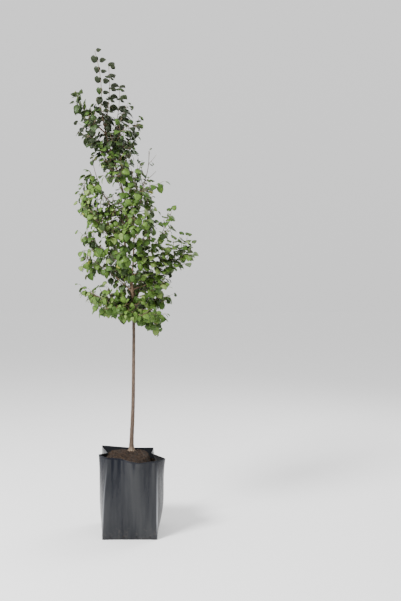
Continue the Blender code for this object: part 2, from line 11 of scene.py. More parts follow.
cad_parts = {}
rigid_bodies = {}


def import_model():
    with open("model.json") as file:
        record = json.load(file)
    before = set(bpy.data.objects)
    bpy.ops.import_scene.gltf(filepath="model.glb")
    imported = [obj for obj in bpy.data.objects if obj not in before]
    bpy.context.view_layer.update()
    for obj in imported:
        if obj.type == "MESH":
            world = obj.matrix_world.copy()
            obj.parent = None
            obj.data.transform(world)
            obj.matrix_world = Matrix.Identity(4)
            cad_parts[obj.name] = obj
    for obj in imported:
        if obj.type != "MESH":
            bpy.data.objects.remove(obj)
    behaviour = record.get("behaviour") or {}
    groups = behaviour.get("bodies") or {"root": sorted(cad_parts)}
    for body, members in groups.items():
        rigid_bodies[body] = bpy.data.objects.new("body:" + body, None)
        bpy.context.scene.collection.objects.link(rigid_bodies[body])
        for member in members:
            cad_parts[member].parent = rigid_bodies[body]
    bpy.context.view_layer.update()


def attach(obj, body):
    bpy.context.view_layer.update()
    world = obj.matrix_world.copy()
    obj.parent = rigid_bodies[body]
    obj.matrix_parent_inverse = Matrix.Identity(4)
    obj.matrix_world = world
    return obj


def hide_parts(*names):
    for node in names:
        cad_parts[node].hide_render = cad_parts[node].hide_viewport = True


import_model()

# The bag. It is a gusseted tube of black polythene film with a flat welded bottom, which the soil
# fills out. The front panel is creased at both edges, the gussets bulge beside it and fold in
# towards the back, and the rim hangs in soft waves. Eight drain holes are punched near the bottom.

UP = Vector((0, 0, 1))
PANEL_WIDTH = 0.267
BAG_DEPTH = 0.250
BAG_HEIGHT = 0.386
RIM_SAG = 0.008
CORNER_LIFT = 0.010
BULGE_LEFT = 0.016
BULGE_RIGHT = 0.033
EAR_FLARE_LEFT = 0.007
EAR_FLARE_RIGHT = 0.006
FOLD_IN = 0.024
CREASE_IN = 0.026
CREASE_BACK = 0.034
BELLY = 0.030
REAR_BELLY = 0.004
REAR_SHIFT = 0.012
# How far the rim hangs at points of the outline, as shares of RIM_SAG, and the point where it is
# lifted instead.
FRONT_DIP = {1: 0.3, 2: 1.0, 3: 0.9, 4: 0.5, 5: 0.4}
BACK_LEFT = 9
FILM_WALL = 0.0006
FILM_INSET = 0.0004  # the film's outside lies this far within the solid's
FILM_LEVELS = 84
FILM_STEPS = 16  # points between two named points of the outline
# How round the outline runs through each of its twelve points, from a crease at 0.
ROUNDNESS = (0.25, 0.9, 1.0, 1.0, 0.20, 0.75, 0.30, 0.35, 1.0, 0.35, 0.30, 0.75)
# Soft upright folds in the front panel: x, width, depth, and the share of the height they reach
# down to.
FRONT_FOLDS = (
    (-0.098, 0.006, -0.0012, 0.20),
    (-0.084, 0.007, 0.0034, 0.36),
    (-0.067, 0.006, -0.0014, 0.30),
    (-0.052, 0.008, 0.0042, 0.40),
    (-0.040, 0.003, -0.0018, 0.45),
    (-0.028, 0.008, 0.0018, 0.30),
    (0.019, 0.008, 0.0044, 0.72),
    (0.050, 0.018, -0.0024, 0.05),
    (0.096, 0.010, 0.0026, 0.25),
    (0.111, 0.005, -0.0012, 0.30),
    (0.122, 0.005, 0.0020, 0.30),
)
# The front panel's folds are also painted darker as shade: a fold this deep is painted fully dark.
FOLD_SCALE = 0.004  # the depth that counts as a full fold in the film's shading
# How pale the film is painted along its creases as a highlight: the outline's point, and how strongly.
CREASE_HIGHLIGHTS = {0: 0.45, 4: 0.9, 5: 0.3, 7: 0.3, 9: 0.3, 11: 0.25}
CREASE_WIDTH = 0.0034
# The upper parts of the gussets are painted darker as shade.
GUSSET_PAINTED_SHADE = (1.5, 0.8)  # how dark the upper part of the left and the right gusset is
GUSSET_EDGE = 0.01  # the gussets' shade keeps this far from the front and the back panel
# A band of painted shade runs along the rim, this deep; the rim has no lip of its own.
RIM_SHADE_BAND = 0.0045
FACES_FRONT = -0.7  # the front panel's outward direction has a y below this
# Fine wrinkles: how many a metre across and upright, and their depth.
WRINKLES = ((26, 7, 0.0013), (70, 22, 0.00052))
WELD_HEIGHT = 0.007
WELD_INSET = 0.0016
DRAIN_RADIUS = 0.003
DRAIN_HEIGHT = 0.013
DRAIN_PITCH = 0.064
DRAINS_PER_PANEL = 4


def blend(low, middle, high, share):
    """A value that goes from low at the base through middle at half height to high at the rim."""
    if share < 0.5:
        return low + (middle - low) * math.sin(math.pi * share)
    return middle + (high - middle) * (2 * share - 1) ** 3


def bag_outline(share):
    """The twelve named points of the bag's outline, anticlockwise from the front left crease."""
    half = PANEL_WIDTH / 2
    front = -BAG_DEPTH / 2
    back = BAG_DEPTH / 2
    belly = BELLY * share**3
    left_ear = -half - blend(0.002, BULGE_LEFT, BULGE_LEFT + EAR_FLARE_LEFT, share)
    right_ear = half + blend(0.001, BULGE_RIGHT, BULGE_RIGHT + EAR_FLARE_RIGHT, share)
    left_fold = -half - blend(0.001, BULGE_LEFT * 0.85, -FOLD_IN * 0.8, share)
    right_fold = half + blend(0.001, BULGE_RIGHT * 0.8, -FOLD_IN, share)
    return (
        (-half + CREASE_IN * share**2, front + CREASE_BACK * share**2),
        (-0.045, front + 0.020 * share**3),
        (0.022, front - belly),
        (0.090, front - 0.6 * belly),
        (half - 0.002, front - 0.3 * belly),
        (right_ear, blend(-0.050, -0.050, -0.096, share)),
        (right_fold, blend(0.030, 0.030, 0.006, share)),
        (half - REAR_SHIFT * share, back),
        (0.0, back + REAR_BELLY),
        (-half - REAR_SHIFT * share, back + REAR_SHIFT / 2 * share),
        (left_fold, blend(0.030, 0.030, 0.008, share)),
        (left_ear, blend(-0.050, -0.050, -0.026, share)),
    )


def hermite(start, end, slope_in, slope_out, t):
    return (
        (2 * t**3 - 3 * t**2 + 1) * start
        + (t**3 - 2 * t**2 + t) * slope_in
        + (3 * t**2 - 2 * t**3) * end
        + (t**3 - t**2) * slope_out
    )


def rim_drop(index):
    return RIM_SAG * FRONT_DIP.get(index, 0) - (CORNER_LIFT if index == BACK_LEFT else 0)


def fold_depth(place, share):
    """How far the front panel is folded inwards at a place on it."""
    depth = 0
    for x, width, deep, foot in FRONT_FOLDS:
        rise = min(1, max(0, (share - foot) / (1 - foot)))
        spread = width * (0.6 + 0.8 * rise)
        depth += deep * rise**1.3 * math.exp(-(((place - x) / spread) ** 2))
    return depth


def rounded(named):
    """Points round the smooth outline through the bag's named points."""
    made = []
    for i, start in enumerate(named):
        end = named[(i + 1) % len(named)]
        after = named[(i + 2) % len(named)]
        slope_in = (end - named[i - 1]) / 2 * ROUNDNESS[i]
        slope_out = (after - start) / 2 * ROUNDNESS[(i + 1) % len(named)]
        for step in range(FILM_STEPS):
            made.append(hermite(start, end, slope_in, slope_out, step / FILM_STEPS))
    return made


def film_ring(share, inward):
    """Points round the film at a share of its height, drawn inward from the bag's outline."""
    named = [Vector((x, y, -rim_drop(i) * share**4)) for i, (x, y) in enumerate(bag_outline(share))]
    outline = rounded(named)
    for point in outline:
        point.z += BAG_HEIGHT * share
    weld = WELD_INSET if 0 < share < WELD_HEIGHT / BAG_HEIGHT else 0
    loose = min(1, share * 6) * (0.5 + 0.5 * share)
    made = []
    for i, point in enumerate(outline):
        along = outline[(i + 1) % len(outline)] - outline[i - 1]
        normal = Vector((along.y, -along.x, 0)).normalized()
        depth = inward + weld
        if normal.y < FACES_FRONT:
            depth += fold_depth(point.x, share)
        for across, upright, deep in WRINKLES:
            grain = Vector((point.x * across, point.y * across, point.z * upright))
            depth += deep * noise.noise(grain) * loose
        made.append(point - normal * max(depth, inward / 5))
    return made


def ring_band(faces, lower, upper, count, turned=False):
    for i in range(count):
        j = (i + 1) % count
        face = (lower + i, lower + j, upper + j, upper + i)
        faces.append(face[::-1] if turned else face)


def ring_disc(points, faces, start, count, turned=False):
    """A flat fan over a ring that is already among the points."""
    middle = sum((Vector(point) for point in points[start : start + count]), Vector()) / count
    points.append(middle)
    hub = len(points) - 1
    for i in range(count):
        face = (hub, start + i, start + (i + 1) % count)
        faces.append(face[::-1] if turned else face)


def new_object(name, points, faces, edges=()):
    mesh = bpy.data.meshes.new(name)
    mesh.from_pydata([tuple(point) for point in points], list(edges), faces)
    made = bpy.data.objects.new(name, mesh)
    bpy.context.scene.collection.objects.link(made)
    return made


def plain_mesh(obj):
    """Swaps an object's live modifiers for the mesh that they make, shaded smooth."""
    graph = bpy.context.evaluated_depsgraph_get()
    mesh = bpy.data.meshes.new_from_object(obj.evaluated_get(graph))
    obj.modifiers.clear()
    obj.data = mesh
    mesh.shade_smooth()
    return mesh


def film_levels():
    """Shares of the height of the film's rings, with two close together at the bottom weld."""
    weld = WELD_HEIGHT / BAG_HEIGHT
    rest = [weld * 1.25 + (1 - weld * 1.25) * i / FILM_LEVELS for i in range(FILM_LEVELS + 1)]
    return [0, weld * 0.12, weld * 0.98, *rest]


points, faces = [], []
levels = film_levels()
per_ring = len(ROUNDNESS) * FILM_STEPS
for share in levels:
    points += film_ring(share, FILM_INSET)
for share in levels:
    ring = film_ring(share, FILM_INSET + FILM_WALL)
    if share == 0:
        ring = [point + UP * FILM_WALL for point in ring]
    points += ring
inside = len(levels) * per_ring
for i in range(len(levels) - 1):
    ring_band(faces, i * per_ring, (i + 1) * per_ring, per_ring)
    ring_band(faces, inside + i * per_ring, inside + (i + 1) * per_ring, per_ring, turned=True)
ring_band(faces, inside - per_ring, inside + (len(levels) - 1) * per_ring, per_ring)
ring_disc(points, faces, 0, per_ring, turned=True)
ring_disc(points, faces, inside, per_ring)
bag = new_object("bag_film", points, faces)


def highlight_fade(share):
    """The painted crease highlight sets in above the bag's foot and fades out again below its rim."""
    return min(1, 4 * share, max(0, 1.6 * (0.95 - share)))


def film_marks(share):
    """How much highlight and shade is painted on the film at each point of film_ring."""
    ring = film_ring(share, FILM_INSET)
    worn, folded = [], []
    for point in ring:
        # A painted highlight along the creases.
        pale = 0
        for corner, strength in CREASE_HIGHLIGHTS.items():
            away = (point - ring[corner * FILM_STEPS]).length / CREASE_WIDTH
            pale = max(pale, strength * math.exp(-away * away))
        worn.append(pale * highlight_fade(share))
        # Painted shade: in the front panel's folds, on the upper gussets and in a band along the rim.
        front = point.y < -BAG_DEPTH / 4 and abs(point.x) < PANEL_WIDTH / 2
        depth = fold_depth(point.x, share) / FOLD_SCALE if front else 0
        if not front and abs(point.y) < BAG_DEPTH / 2 - GUSSET_EDGE:
            depth = GUSSET_PAINTED_SHADE[point.x > 0] * share**1.5
        rim_shade = 1 if share * BAG_HEIGHT > BAG_HEIGHT - RIM_SHADE_BAND else 0
        folded.append(max(depth, rim_shade))
    return worn, folded


marks = [film_marks(share) for share in levels]
for label, part in (("worn", 0), ("folded", 1)):
    values = [value for ring in marks for value in ring[part]]
    values += [0] * (len(bag.data.vertices) - len(values))
    bag.data.attributes.new(label, "FLOAT", "POINT").data.foreach_set("value", values)


def drain_punches():
    """Short rods through both panels, where the drain holes go."""
    bm = bmesh.new()
    for panel in (-1, 1):
        for i in range(DRAINS_PER_PANEL):
            across = DRAIN_PITCH * (i - (DRAINS_PER_PANEL - 1) / 2)
            place = Matrix.Translation((across, panel * BAG_DEPTH / 2, DRAIN_HEIGHT))
            bmesh.ops.create_cone(
                bm, cap_ends=True, segments=16, radius1=DRAIN_RADIUS, radius2=DRAIN_RADIUS,
                depth=BAG_DEPTH / 10, matrix=place @ Matrix.Rotation(math.pi / 2, 4, "X"),
            )
    made = new_object("drain punches", [], [])
    bm.to_mesh(made.data)
    bm.free()
    return made


drains = drain_punches()
punch = bag.modifiers.new("drain holes", "BOOLEAN")
punch.object = drains
plain_mesh(bag)
bag.data.set_sharp_from_angle(angle=math.radians(50))
bpy.data.objects.remove(drains)


class Value:
    """A node's output that can stand in a Python sum: each operator adds its Math node."""

    def __init__(self, graph, socket):
        self.graph = graph
        self.socket = socket

    def __add__(self, other):
        return self.graph.maths("ADD", self, other)

    def __sub__(self, other):
        return self.graph.maths("SUBTRACT", self, other)

    def __rsub__(self, other):
        return self.graph.maths("SUBTRACT", other, self)

    def __mul__(self, other):
        return self.graph.maths("MULTIPLY", self, other)

    def __pow__(self, other):
        return self.graph.maths("POWER", self, other)

    __radd__ = __add__
    __rmul__ = __mul__


class Graph:
    """A node tree of a material or of Geometry Nodes, written as expressions."""

    def __init__(self, tree):
        self.tree = tree

    def node(self, kind, settings=None, inputs=None, output=0):
        """A new node: its settings are made first, then its sockets are set or linked."""
        made = self.tree.nodes.new(kind)
        for name, value in (settings or {}).items():
            setattr(made, name, value)
        for name, value in (inputs or {}).items():
            self.feed(made.inputs[name], value)
        return Value(self, made.outputs[output])

    def feed(self, socket, value):
        if isinstance(value, Value):
            self.tree.links.new(value.socket, socket)
        else:
            socket.default_value = value

    def maths(self, operation, first, second):
        return self.node("ShaderNodeMath", {"operation": operation}, {0: first, 1: second})


class Finish(Graph):
    """A Principled material; place is a point of the piece in metres."""

    def __init__(self, name, **plain):
        self.material = bpy.data.materials.new(name)
        self.material.use_nodes = True
        super().__init__(self.material.node_tree)
        self.shader = self.tree.nodes["Principled BSDF"]
        for socket, value in plain.items():
            self.shader.inputs[socket.replace("_", " ")].default_value = value
        self.place = self.node("ShaderNodeTexCoord", output="Object")

    def stretched(self, scale):
        return self.node("ShaderNodeMapping", inputs={"Vector": self.place, "Scale": scale})

    def noise(self, scale, detail, where=None):
        """Cloudy noise from 0 to 1, with scale lumps a metre."""
        return self.node(
            "ShaderNodeTexNoise", inputs={"Vector": where or self.place, "Scale": scale, "Detail": detail}
        )

    def between(self, value, low, high, to_low=0.0, to_high=1.0):
        """value's range from low to high, spread over the other range and held at its ends."""
        return self.node(
            "ShaderNodeMapRange", {"interpolation_type": "SMOOTHSTEP"},
            {"Value": value, 1: low, 2: high, 3: to_low, 4: to_high},
        )

    def mixed(self, mask, first, second):
        """Two colours, the second where the mask is 1."""
        first, second = ((*c, 1) if isinstance(c, tuple) else c for c in (first, second))
        return self.node(
            "ShaderNodeMix", {"data_type": "RGBA"}, {0: mask, 6: first, 7: second}, output=2
        )

    def mark(self, name):
        """A number that the mesh carries from point to point."""
        return self.node("ShaderNodeAttribute", {"attribute_name": name}, output="Fac")

    def paint(self, socket, value):
        self.feed(self.shader.inputs[socket], value)

    def relief(self, height, depth):
        """Fine relief of a depth in metres, where height is 1."""
        self.paint("Normal", self.node(
            "ShaderNodeBump", inputs={"Height": height, "Distance": depth, "Strength": 1.0}
        ))


# The darkest colour is clean film, and also the painted shade in the folds, on the upper gussets and along
# the rim.
FILM_CLEAN_AND_SHADE = (0.003, 0.004, 0.008)
FILM_DULL = (0.017, 0.018, 0.020)
FILM_DUSTY = (0.055, 0.050, 0.044)
# A painted highlight along the creases.
FILM_CREASE_HIGHLIGHT = (0.34, 0.35, 0.37)
DRAWN = (1, 1, 0.16)  # draws a pattern out upright
DUST_HEIGHT = 0.10
film = Finish("black_film", Specular_IOR_Level=0.16, Coat_Roughness=0.28, Sheen_Weight=0.05)
height = film.node("ShaderNodeSeparateXYZ", inputs={0: film.place}, output="Z")
drawn = film.noise(90, 3, film.stretched(DRAWN))
broad = film.noise(22, 2, film.stretched((1, 1, 0.12)))
# The film is painted darker where the mesh carries painted shade: in the folds, on the upper gussets and
# along the rim.
dull_less_shade = film.between(broad * 0.6 + drawn * 0.15 - film.mark("folded") * 0.3, 0.08, 0.62)
colour = film.mixed(dull_less_shade, FILM_CLEAN_AND_SHADE, FILM_DULL)
dust = film.between(film.noise(70, 5), 0.50, 0.80) * film.between(height, DUST_HEIGHT, 0.0)
colour = film.mixed(dust * 0.6, colour, FILM_DUSTY)
# Along the creases the film is painted pale as a highlight.
film.paint("Base Color", film.mixed(film.mark("worn"), colour, FILM_CREASE_HIGHLIGHT))
film.paint("Roughness", film.between(dull_less_shade, 0.0, 1.0, 0.22, 0.40))
film.paint("Coat Weight", film.between(dull_less_shade, 0.0, 1.0, 0.02, 0.36))
film.relief(drawn * 0.7 + film.noise(420, 2) * 0.3, 0.0009)
bag.data.materials.append(film.material)
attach(bag, "root")
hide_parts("bag")

# The soil. Dark brown potting soil fills the bag to just under its rim and is mounded up round
# the foot of the stem. It is loose and granular, with clods and short bits of fibre on top.

SOIL_TOP = 0.400
SOIL_CLEAR = 0.0022  # the soil's wall lies this far within the bag's outline
SOIL_WALLS = (0.006, 0.05, 0.14, 0.30, 0.50, 0.68, 0.84, 0.95)  # rings, as shares of the bag's height
SOIL_EDGE = 0.364
SOIL_RINGS = 46
# The soil fills an oval; outside it, in the bag's ears, it has sunk.
FILL_MIDDLE = (-0.013, 0.0)
FILL_HALF = (0.107, 0.155)
FILL_RIM = 0.93  # where it begins to sink, as a share of the oval
FILL_SLOPE = 0.25
SUNK = 0.036
# Unevenness: lumps a metre, where in the noise they are taken from, and their height.
CRUMBLES = ((60, 1.3, 0.00182), (240, 4.1, 0.0013))
CRUMBLES_IN = 12  # they have their full height from a twelfth of the way in
STEM_FOOT = Vector((0.007, 0.0, SOIL_TOP))
# The mound: how far out from the stem, and how high, as shares of the whole.
MOUND = ((1.0, 0.0), (0.62, 0.5), (0.34, 0.85), (0.0, 1.0))


def mound_rise(share):
    """The mound's height as a share of its whole, at a share of the way out from the stem."""
    for (outer, low), (inner, high) in zip(MOUND, MOUND[1:]):
        if share >= inner:
            return low + (high - low) * (outer - share) / (outer - inner)
    return 1.0


def sunk(point):
    """How far the soil has sunk at a place of its top."""
    out = math.hypot(
        (point.x - FILL_MIDDLE[0]) / FILL_HALF[0], (point.y - FILL_MIDDLE[1]) / FILL_HALF[1]
    )
    share = min(1, max(0, (out - FILL_RIM) / FILL_SLOPE))
    return SUNK * share * share * (3 - 2 * share)


def crumble(point):
    """The soil's own unevenness at a point of its top."""
    return sum(
        high * noise.noise(Vector((point.x * lumps, point.y * lumps, layer)))
        for lumps, layer, high in CRUMBLES
    )


points, faces = [], []
for share in SOIL_WALLS:
    points += film_ring(share, SOIL_CLEAR)
edge = points[-per_ring:]
for rim, below in zip(edge, points[-2 * per_ring : -per_ring]):
    rim[:] = rim.lerp(below, sunk(rim) / (rim.z - below.z))
for ring in range(1, SOIL_RINGS):
    out = 1 - ring / SOIL_RINGS
    for rim in edge:
        point = STEM_FOOT.lerp(rim, out)
        whole = SOIL_EDGE + (SOIL_TOP - SOIL_EDGE) * mound_rise(out)
        point.z = whole - sunk(point)
        point.z += crumble(point) * min(1, (1 - out) * CRUMBLES_IN)
        points.append(point)
rings = len(SOIL_WALLS) + SOIL_RINGS - 1
for i in range(rings - 1):
    ring_band(faces, i * per_ring, (i + 1) * per_ring, per_ring)
ring_disc(points, faces, 0, per_ring, turned=True)
ring_disc(points, faces, (rings - 1) * per_ring, per_ring)
soil = new_object("soil_mound", points, faces)
soil.data.shade_smooth()

SOIL_DARK = (0.009, 0.0055, 0.0035)
SOIL_BROWN = (0.030, 0.018, 0.011)
SOIL_DRY = (0.062, 0.040, 0.025)


def soil_finish(name):
    made = Finish(name, Specular_IOR_Level=0.25)
    tone = made.noise(85, 6)
    colour = made.mixed(made.between(tone, 0.36, 0.62), SOIL_DARK, SOIL_BROWN)
    dry = made.between(made.noise(210, 3), 0.60, 0.74) * 0.7
    made.paint("Base Color", made.mixed(dry, colour, SOIL_DRY))
    made.paint("Roughness", made.between(tone, 0.3, 0.7, 0.80, 0.98))
    made.relief(made.noise(900, 4), 0.0012)
    return made.material


soil.data.materials.append(soil_finish("soil"))
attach(soil, "root")
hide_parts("soil")


class Recipe(Graph):
    """A Geometry Nodes tree with named inputs, ready to be put on an object."""

    def __init__(self, name, **inputs):
        tree = bpy.data.node_groups.new(name, "GeometryNodeTree")
        super().__init__(tree)
        tree.interface.new_socket("Geometry", in_out="INPUT", socket_type="NodeSocketGeometry")
        tree.interface.new_socket("Geometry", in_out="OUTPUT", socket_type="NodeSocketGeometry")
        self.sockets = {}
        for label, kind in inputs.items():
            made = tree.interface.new_socket(
                label.replace("_", " "), in_out="INPUT", socket_type="NodeSocket" + kind
            )
            self.sockets[label] = made.identifier
        self.given = tree.nodes.new("NodeGroupInput")
        self.result = tree.nodes.new("NodeGroupOutput")

    def input(self, label):
        return Value(self, self.given.outputs[label.replace("_", " ")])

    def attribute(self, name, kind="FLOAT"):
        return self.node("GeometryNodeInputNamedAttribute", {"data_type": kind}, {"Name": name})

    def finish(self, geometry):
        self.feed(self.result.inputs[0], geometry)

    def make(self, obj, **values):
        """Runs the recipe on an object and leaves its plain mesh there."""
        modifier = obj.modifiers.new(self.tree.name, "NODES")
        modifier.node_group = self.tree
        for label, value in values.items():
            modifier[self.sockets[label]] = value
        plain_mesh(obj)


scatter = Recipe(
    "scattered bits", Shapes="Collection", Density="Float", Smallest="Float", Largest="Float",
    Seed="Int", Finish="Material",
)
spots = scatter.node(
    "GeometryNodeDistributePointsOnFaces", None,
    {"Mesh": scatter.input("Geometry"), "Density": scatter.input("Density"), "Seed": scatter.input("Seed")},
)
turn = scatter.node(
    "FunctionNodeRandomValue", {"data_type": "FLOAT_VECTOR"},
    {0: (0, 0, 0), 1: (math.tau, math.tau, math.tau), "Seed": scatter.input("Seed")},
)
size = scatter.node(
    "FunctionNodeRandomValue", {"data_type": "FLOAT"},
    {2: 0.0, 3: 1.0, "Seed": scatter.input("Seed") + 1}, output=1,
)
size = scatter.input("Smallest") + (scatter.input("Largest") - scatter.input("Smallest")) * size**2.2
shapes = scatter.node(
    "GeometryNodeCollectionInfo", None,
    {"Collection": scatter.input("Shapes"), "Separate Children": True, "Reset Children": True},
)
bits = scatter.node(
    "GeometryNodeInstanceOnPoints", None,
    {
        "Points": spots, "Instance": shapes, "Pick Instance": True, "Scale": size,
        "Rotation": scatter.node("FunctionNodeEulerToRotation", None, {0: turn}),
    },
)
bits = scatter.node("GeometryNodeRealizeInstances", None, {0: bits})
scatter.finish(scatter.node(
    "GeometryNodeSetMaterial", None, {"Geometry": bits, "Material": scatter.input("Finish")}
))


def shape_set(name, meshes):
    """A collection of shapes that a recipe picks from, kept out of the scene."""
    made = bpy.data.collections.new(name)
    for i, mesh in enumerate(meshes):
        made.objects.link(bpy.data.objects.new(f"{name} {i}", mesh))
    return made


BARE_RINGS = 3  # no loose bits lie on the outermost rings of the soil's top
CLOD_SHAPES = 4
CLOD_ROUGH = 0.55
CLOD_LUMPS = 3.1
CLOD_FLAT = 0.75
CLOD_SIZES = (0.0018, 0.0085)
CLODS_A_SQUARE_METRE = 26000.0
FIBRE_SHAPES = 3
FIBRE_SIDES = 6
FIBRE_RADII = (0.045, 0.028)
FIBRE_SIZES = (0.004, 0.015)
FIBRES_A_SQUARE_METRE = 2400.0
STRAW_BROWN = (0.070, 0.042, 0.023)
STRAW_TAN = (0.20, 0.14, 0.08)


def clod(seed):
    """A clod about 1 across."""
    bm = bmesh.new()
    bmesh.ops.create_icosphere(bm, subdivisions=2, radius=0.5)
    for vertex in bm.verts:
        vertex.co *= 1 + CLOD_ROUGH * noise.noise(vertex.co * CLOD_LUMPS + Vector((seed * 7.3, 0, 0)))
        vertex.co.z *= CLOD_FLAT
    mesh = bpy.data.meshes.new("clod")
    bm.to_mesh(mesh)
    bm.free()
    return mesh


def fibre(seed):
    """A bent bit of fibre 1 long."""
    bm = bmesh.new()
    bmesh.ops.create_cone(
        bm, cap_ends=True, segments=FIBRE_SIDES, radius1=FIBRE_RADII[0], radius2=FIBRE_RADII[1], depth=1
    )
    bmesh.ops.subdivide_edges(
        bm, edges=[e for e in bm.edges if abs(e.verts[0].co.z - e.verts[1].co.z) > 0.5], cuts=3
    )
    for vertex in bm.verts:
        vertex.co.x += (0.12 + 0.05 * seed) * math.cos(vertex.co.z * 2.6)
        vertex.co = Vector((vertex.co.z, vertex.co.x, vertex.co.y))
    mesh = bpy.data.meshes.new("fibre")
    bm.to_mesh(mesh)
    bm.free()
    return mesh


def soil_top(name):
    """The top of the soil alone, without its outermost rings, for loose bits to lie on."""
    first = (len(SOIL_WALLS) + BARE_RINGS) * per_ring
    kept = [
        face.vertices[:] for face in soil.data.polygons
        if all(soil.data.vertices[i].co.z > SOIL_TOP / 2 and i >= first for i in face.vertices)
    ]
    return new_object(name, [vertex.co for vertex in soil.data.vertices], kept)


clods = soil_top("soil_clods")
scatter.make(
    clods, Shapes=shape_set("clods", [clod(i) for i in range(CLOD_SHAPES)]),
    Density=CLODS_A_SQUARE_METRE, Smallest=CLOD_SIZES[0], Largest=CLOD_SIZES[1], Seed=4,
    Finish=soil_finish("soil_clods"),
)
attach(clods, "root")

straw = Finish("straw", Specular_IOR_Level=0.3)
straw.paint("Base Color", straw.mixed(straw.noise(160, 3), STRAW_BROWN, STRAW_TAN))
straw.paint("Roughness", straw.between(straw.noise(500, 2), 0.3, 0.7, 0.7, 0.9))
fibres = soil_top("soil_fibres")
scatter.make(
    fibres, Shapes=shape_set("fibres", [fibre(i) for i in range(FIBRE_SHAPES)]),
    Density=FIBRES_A_SQUARE_METRE, Smallest=FIBRE_SIZES[0], Largest=FIBRE_SIZES[1], Seed=9,
    Finish=straw.material,
)
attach(fibres, "root")

# The stem. It is one slender trunk of grey-brown bark, tan higher up, that flares into its roots
# at the soil, carries small knuckles where old buds sat and a collar under every branch, and is
# dotted with lenticels. It forks at chest height and leans to the left above.

STEM_CLEAR = 0.0003


class Station(NamedTuple):
    """A place of the stem: the middle of its wood, and how thick it is there."""

    z: float
    x: float
    y: float
    radius: float


STEM = (
    Station(SOIL_TOP + STEM_CLEAR, 0.007, 0.000, 0.0165),
    Station(0.418, 0.007, 0.000, 0.0128),
    Station(0.450, 0.008, 0.000, 0.0106),
    Station(0.620, 0.015, 0.002, 0.0092),
    Station(0.850, 0.018, 0.004, 0.0081),
    Station(1.050, 0.018, 0.002, 0.0074),
    Station(1.230, 0.008, 0.000, 0.0074),
    Station(1.340, -0.016, -0.004, 0.0052),
    Station(1.430, -0.025, -0.006, 0.0048),
    Station(1.600, -0.015, 0.000, 0.0043),
    Station(1.780, -0.059, 0.008, 0.0037),
    Station(1.970, -0.116, 0.004, 0.0029),
    Station(2.115, -0.146, 0.000, 0.0021),
)


class Branch(NamedTuple):
    """A branch, as the solids have it: one path, whose first share, bare, is its bough."""

    name: str
    leave: float  # the height at which it leaves its parent
    bearing: float  # degrees from +X, anticlockwise seen from above
    reach: float  # how far out its tip lies from there
    rise: float  # how far up its tip lies from there
    bow: float = 0.10  # how far its middle hangs below a straight line, as a share of its length
    bare: float = 0.0
    twigs: int = 4  # how many longer side twigs it has
    droop: float = 0.6  # how far its leaves hang
    lift: float = 0.5  # how steeply its fine twigs rise
    fine: float = 1.0  # how close its fine twigs stand; at 0 it is a whip, with large single leaves
    tall: float = 1.0  # how much longer the fine twigs nearest its root are
    inner: int = 0  # how many fine twigs grow on the bough itself
    leafing: float = 1.0  # the share of its leaves that have opened
    clear: float = 0.0  # the share of its leafy part that is clear of leaves and twigs
    large: float = 1.0  # how large its leaves are
    tint: float = 0.0  # how many shades lighter its leaves are than others at their height
    ranks: float = 70  # how far, in degrees, each of its two rows of leaves stands from its face
    facing: float | None = None  # the bearing that it faces, where that isn't its own
    parent: tuple | None = None  # the branch that it grows from, where that isn't the stem


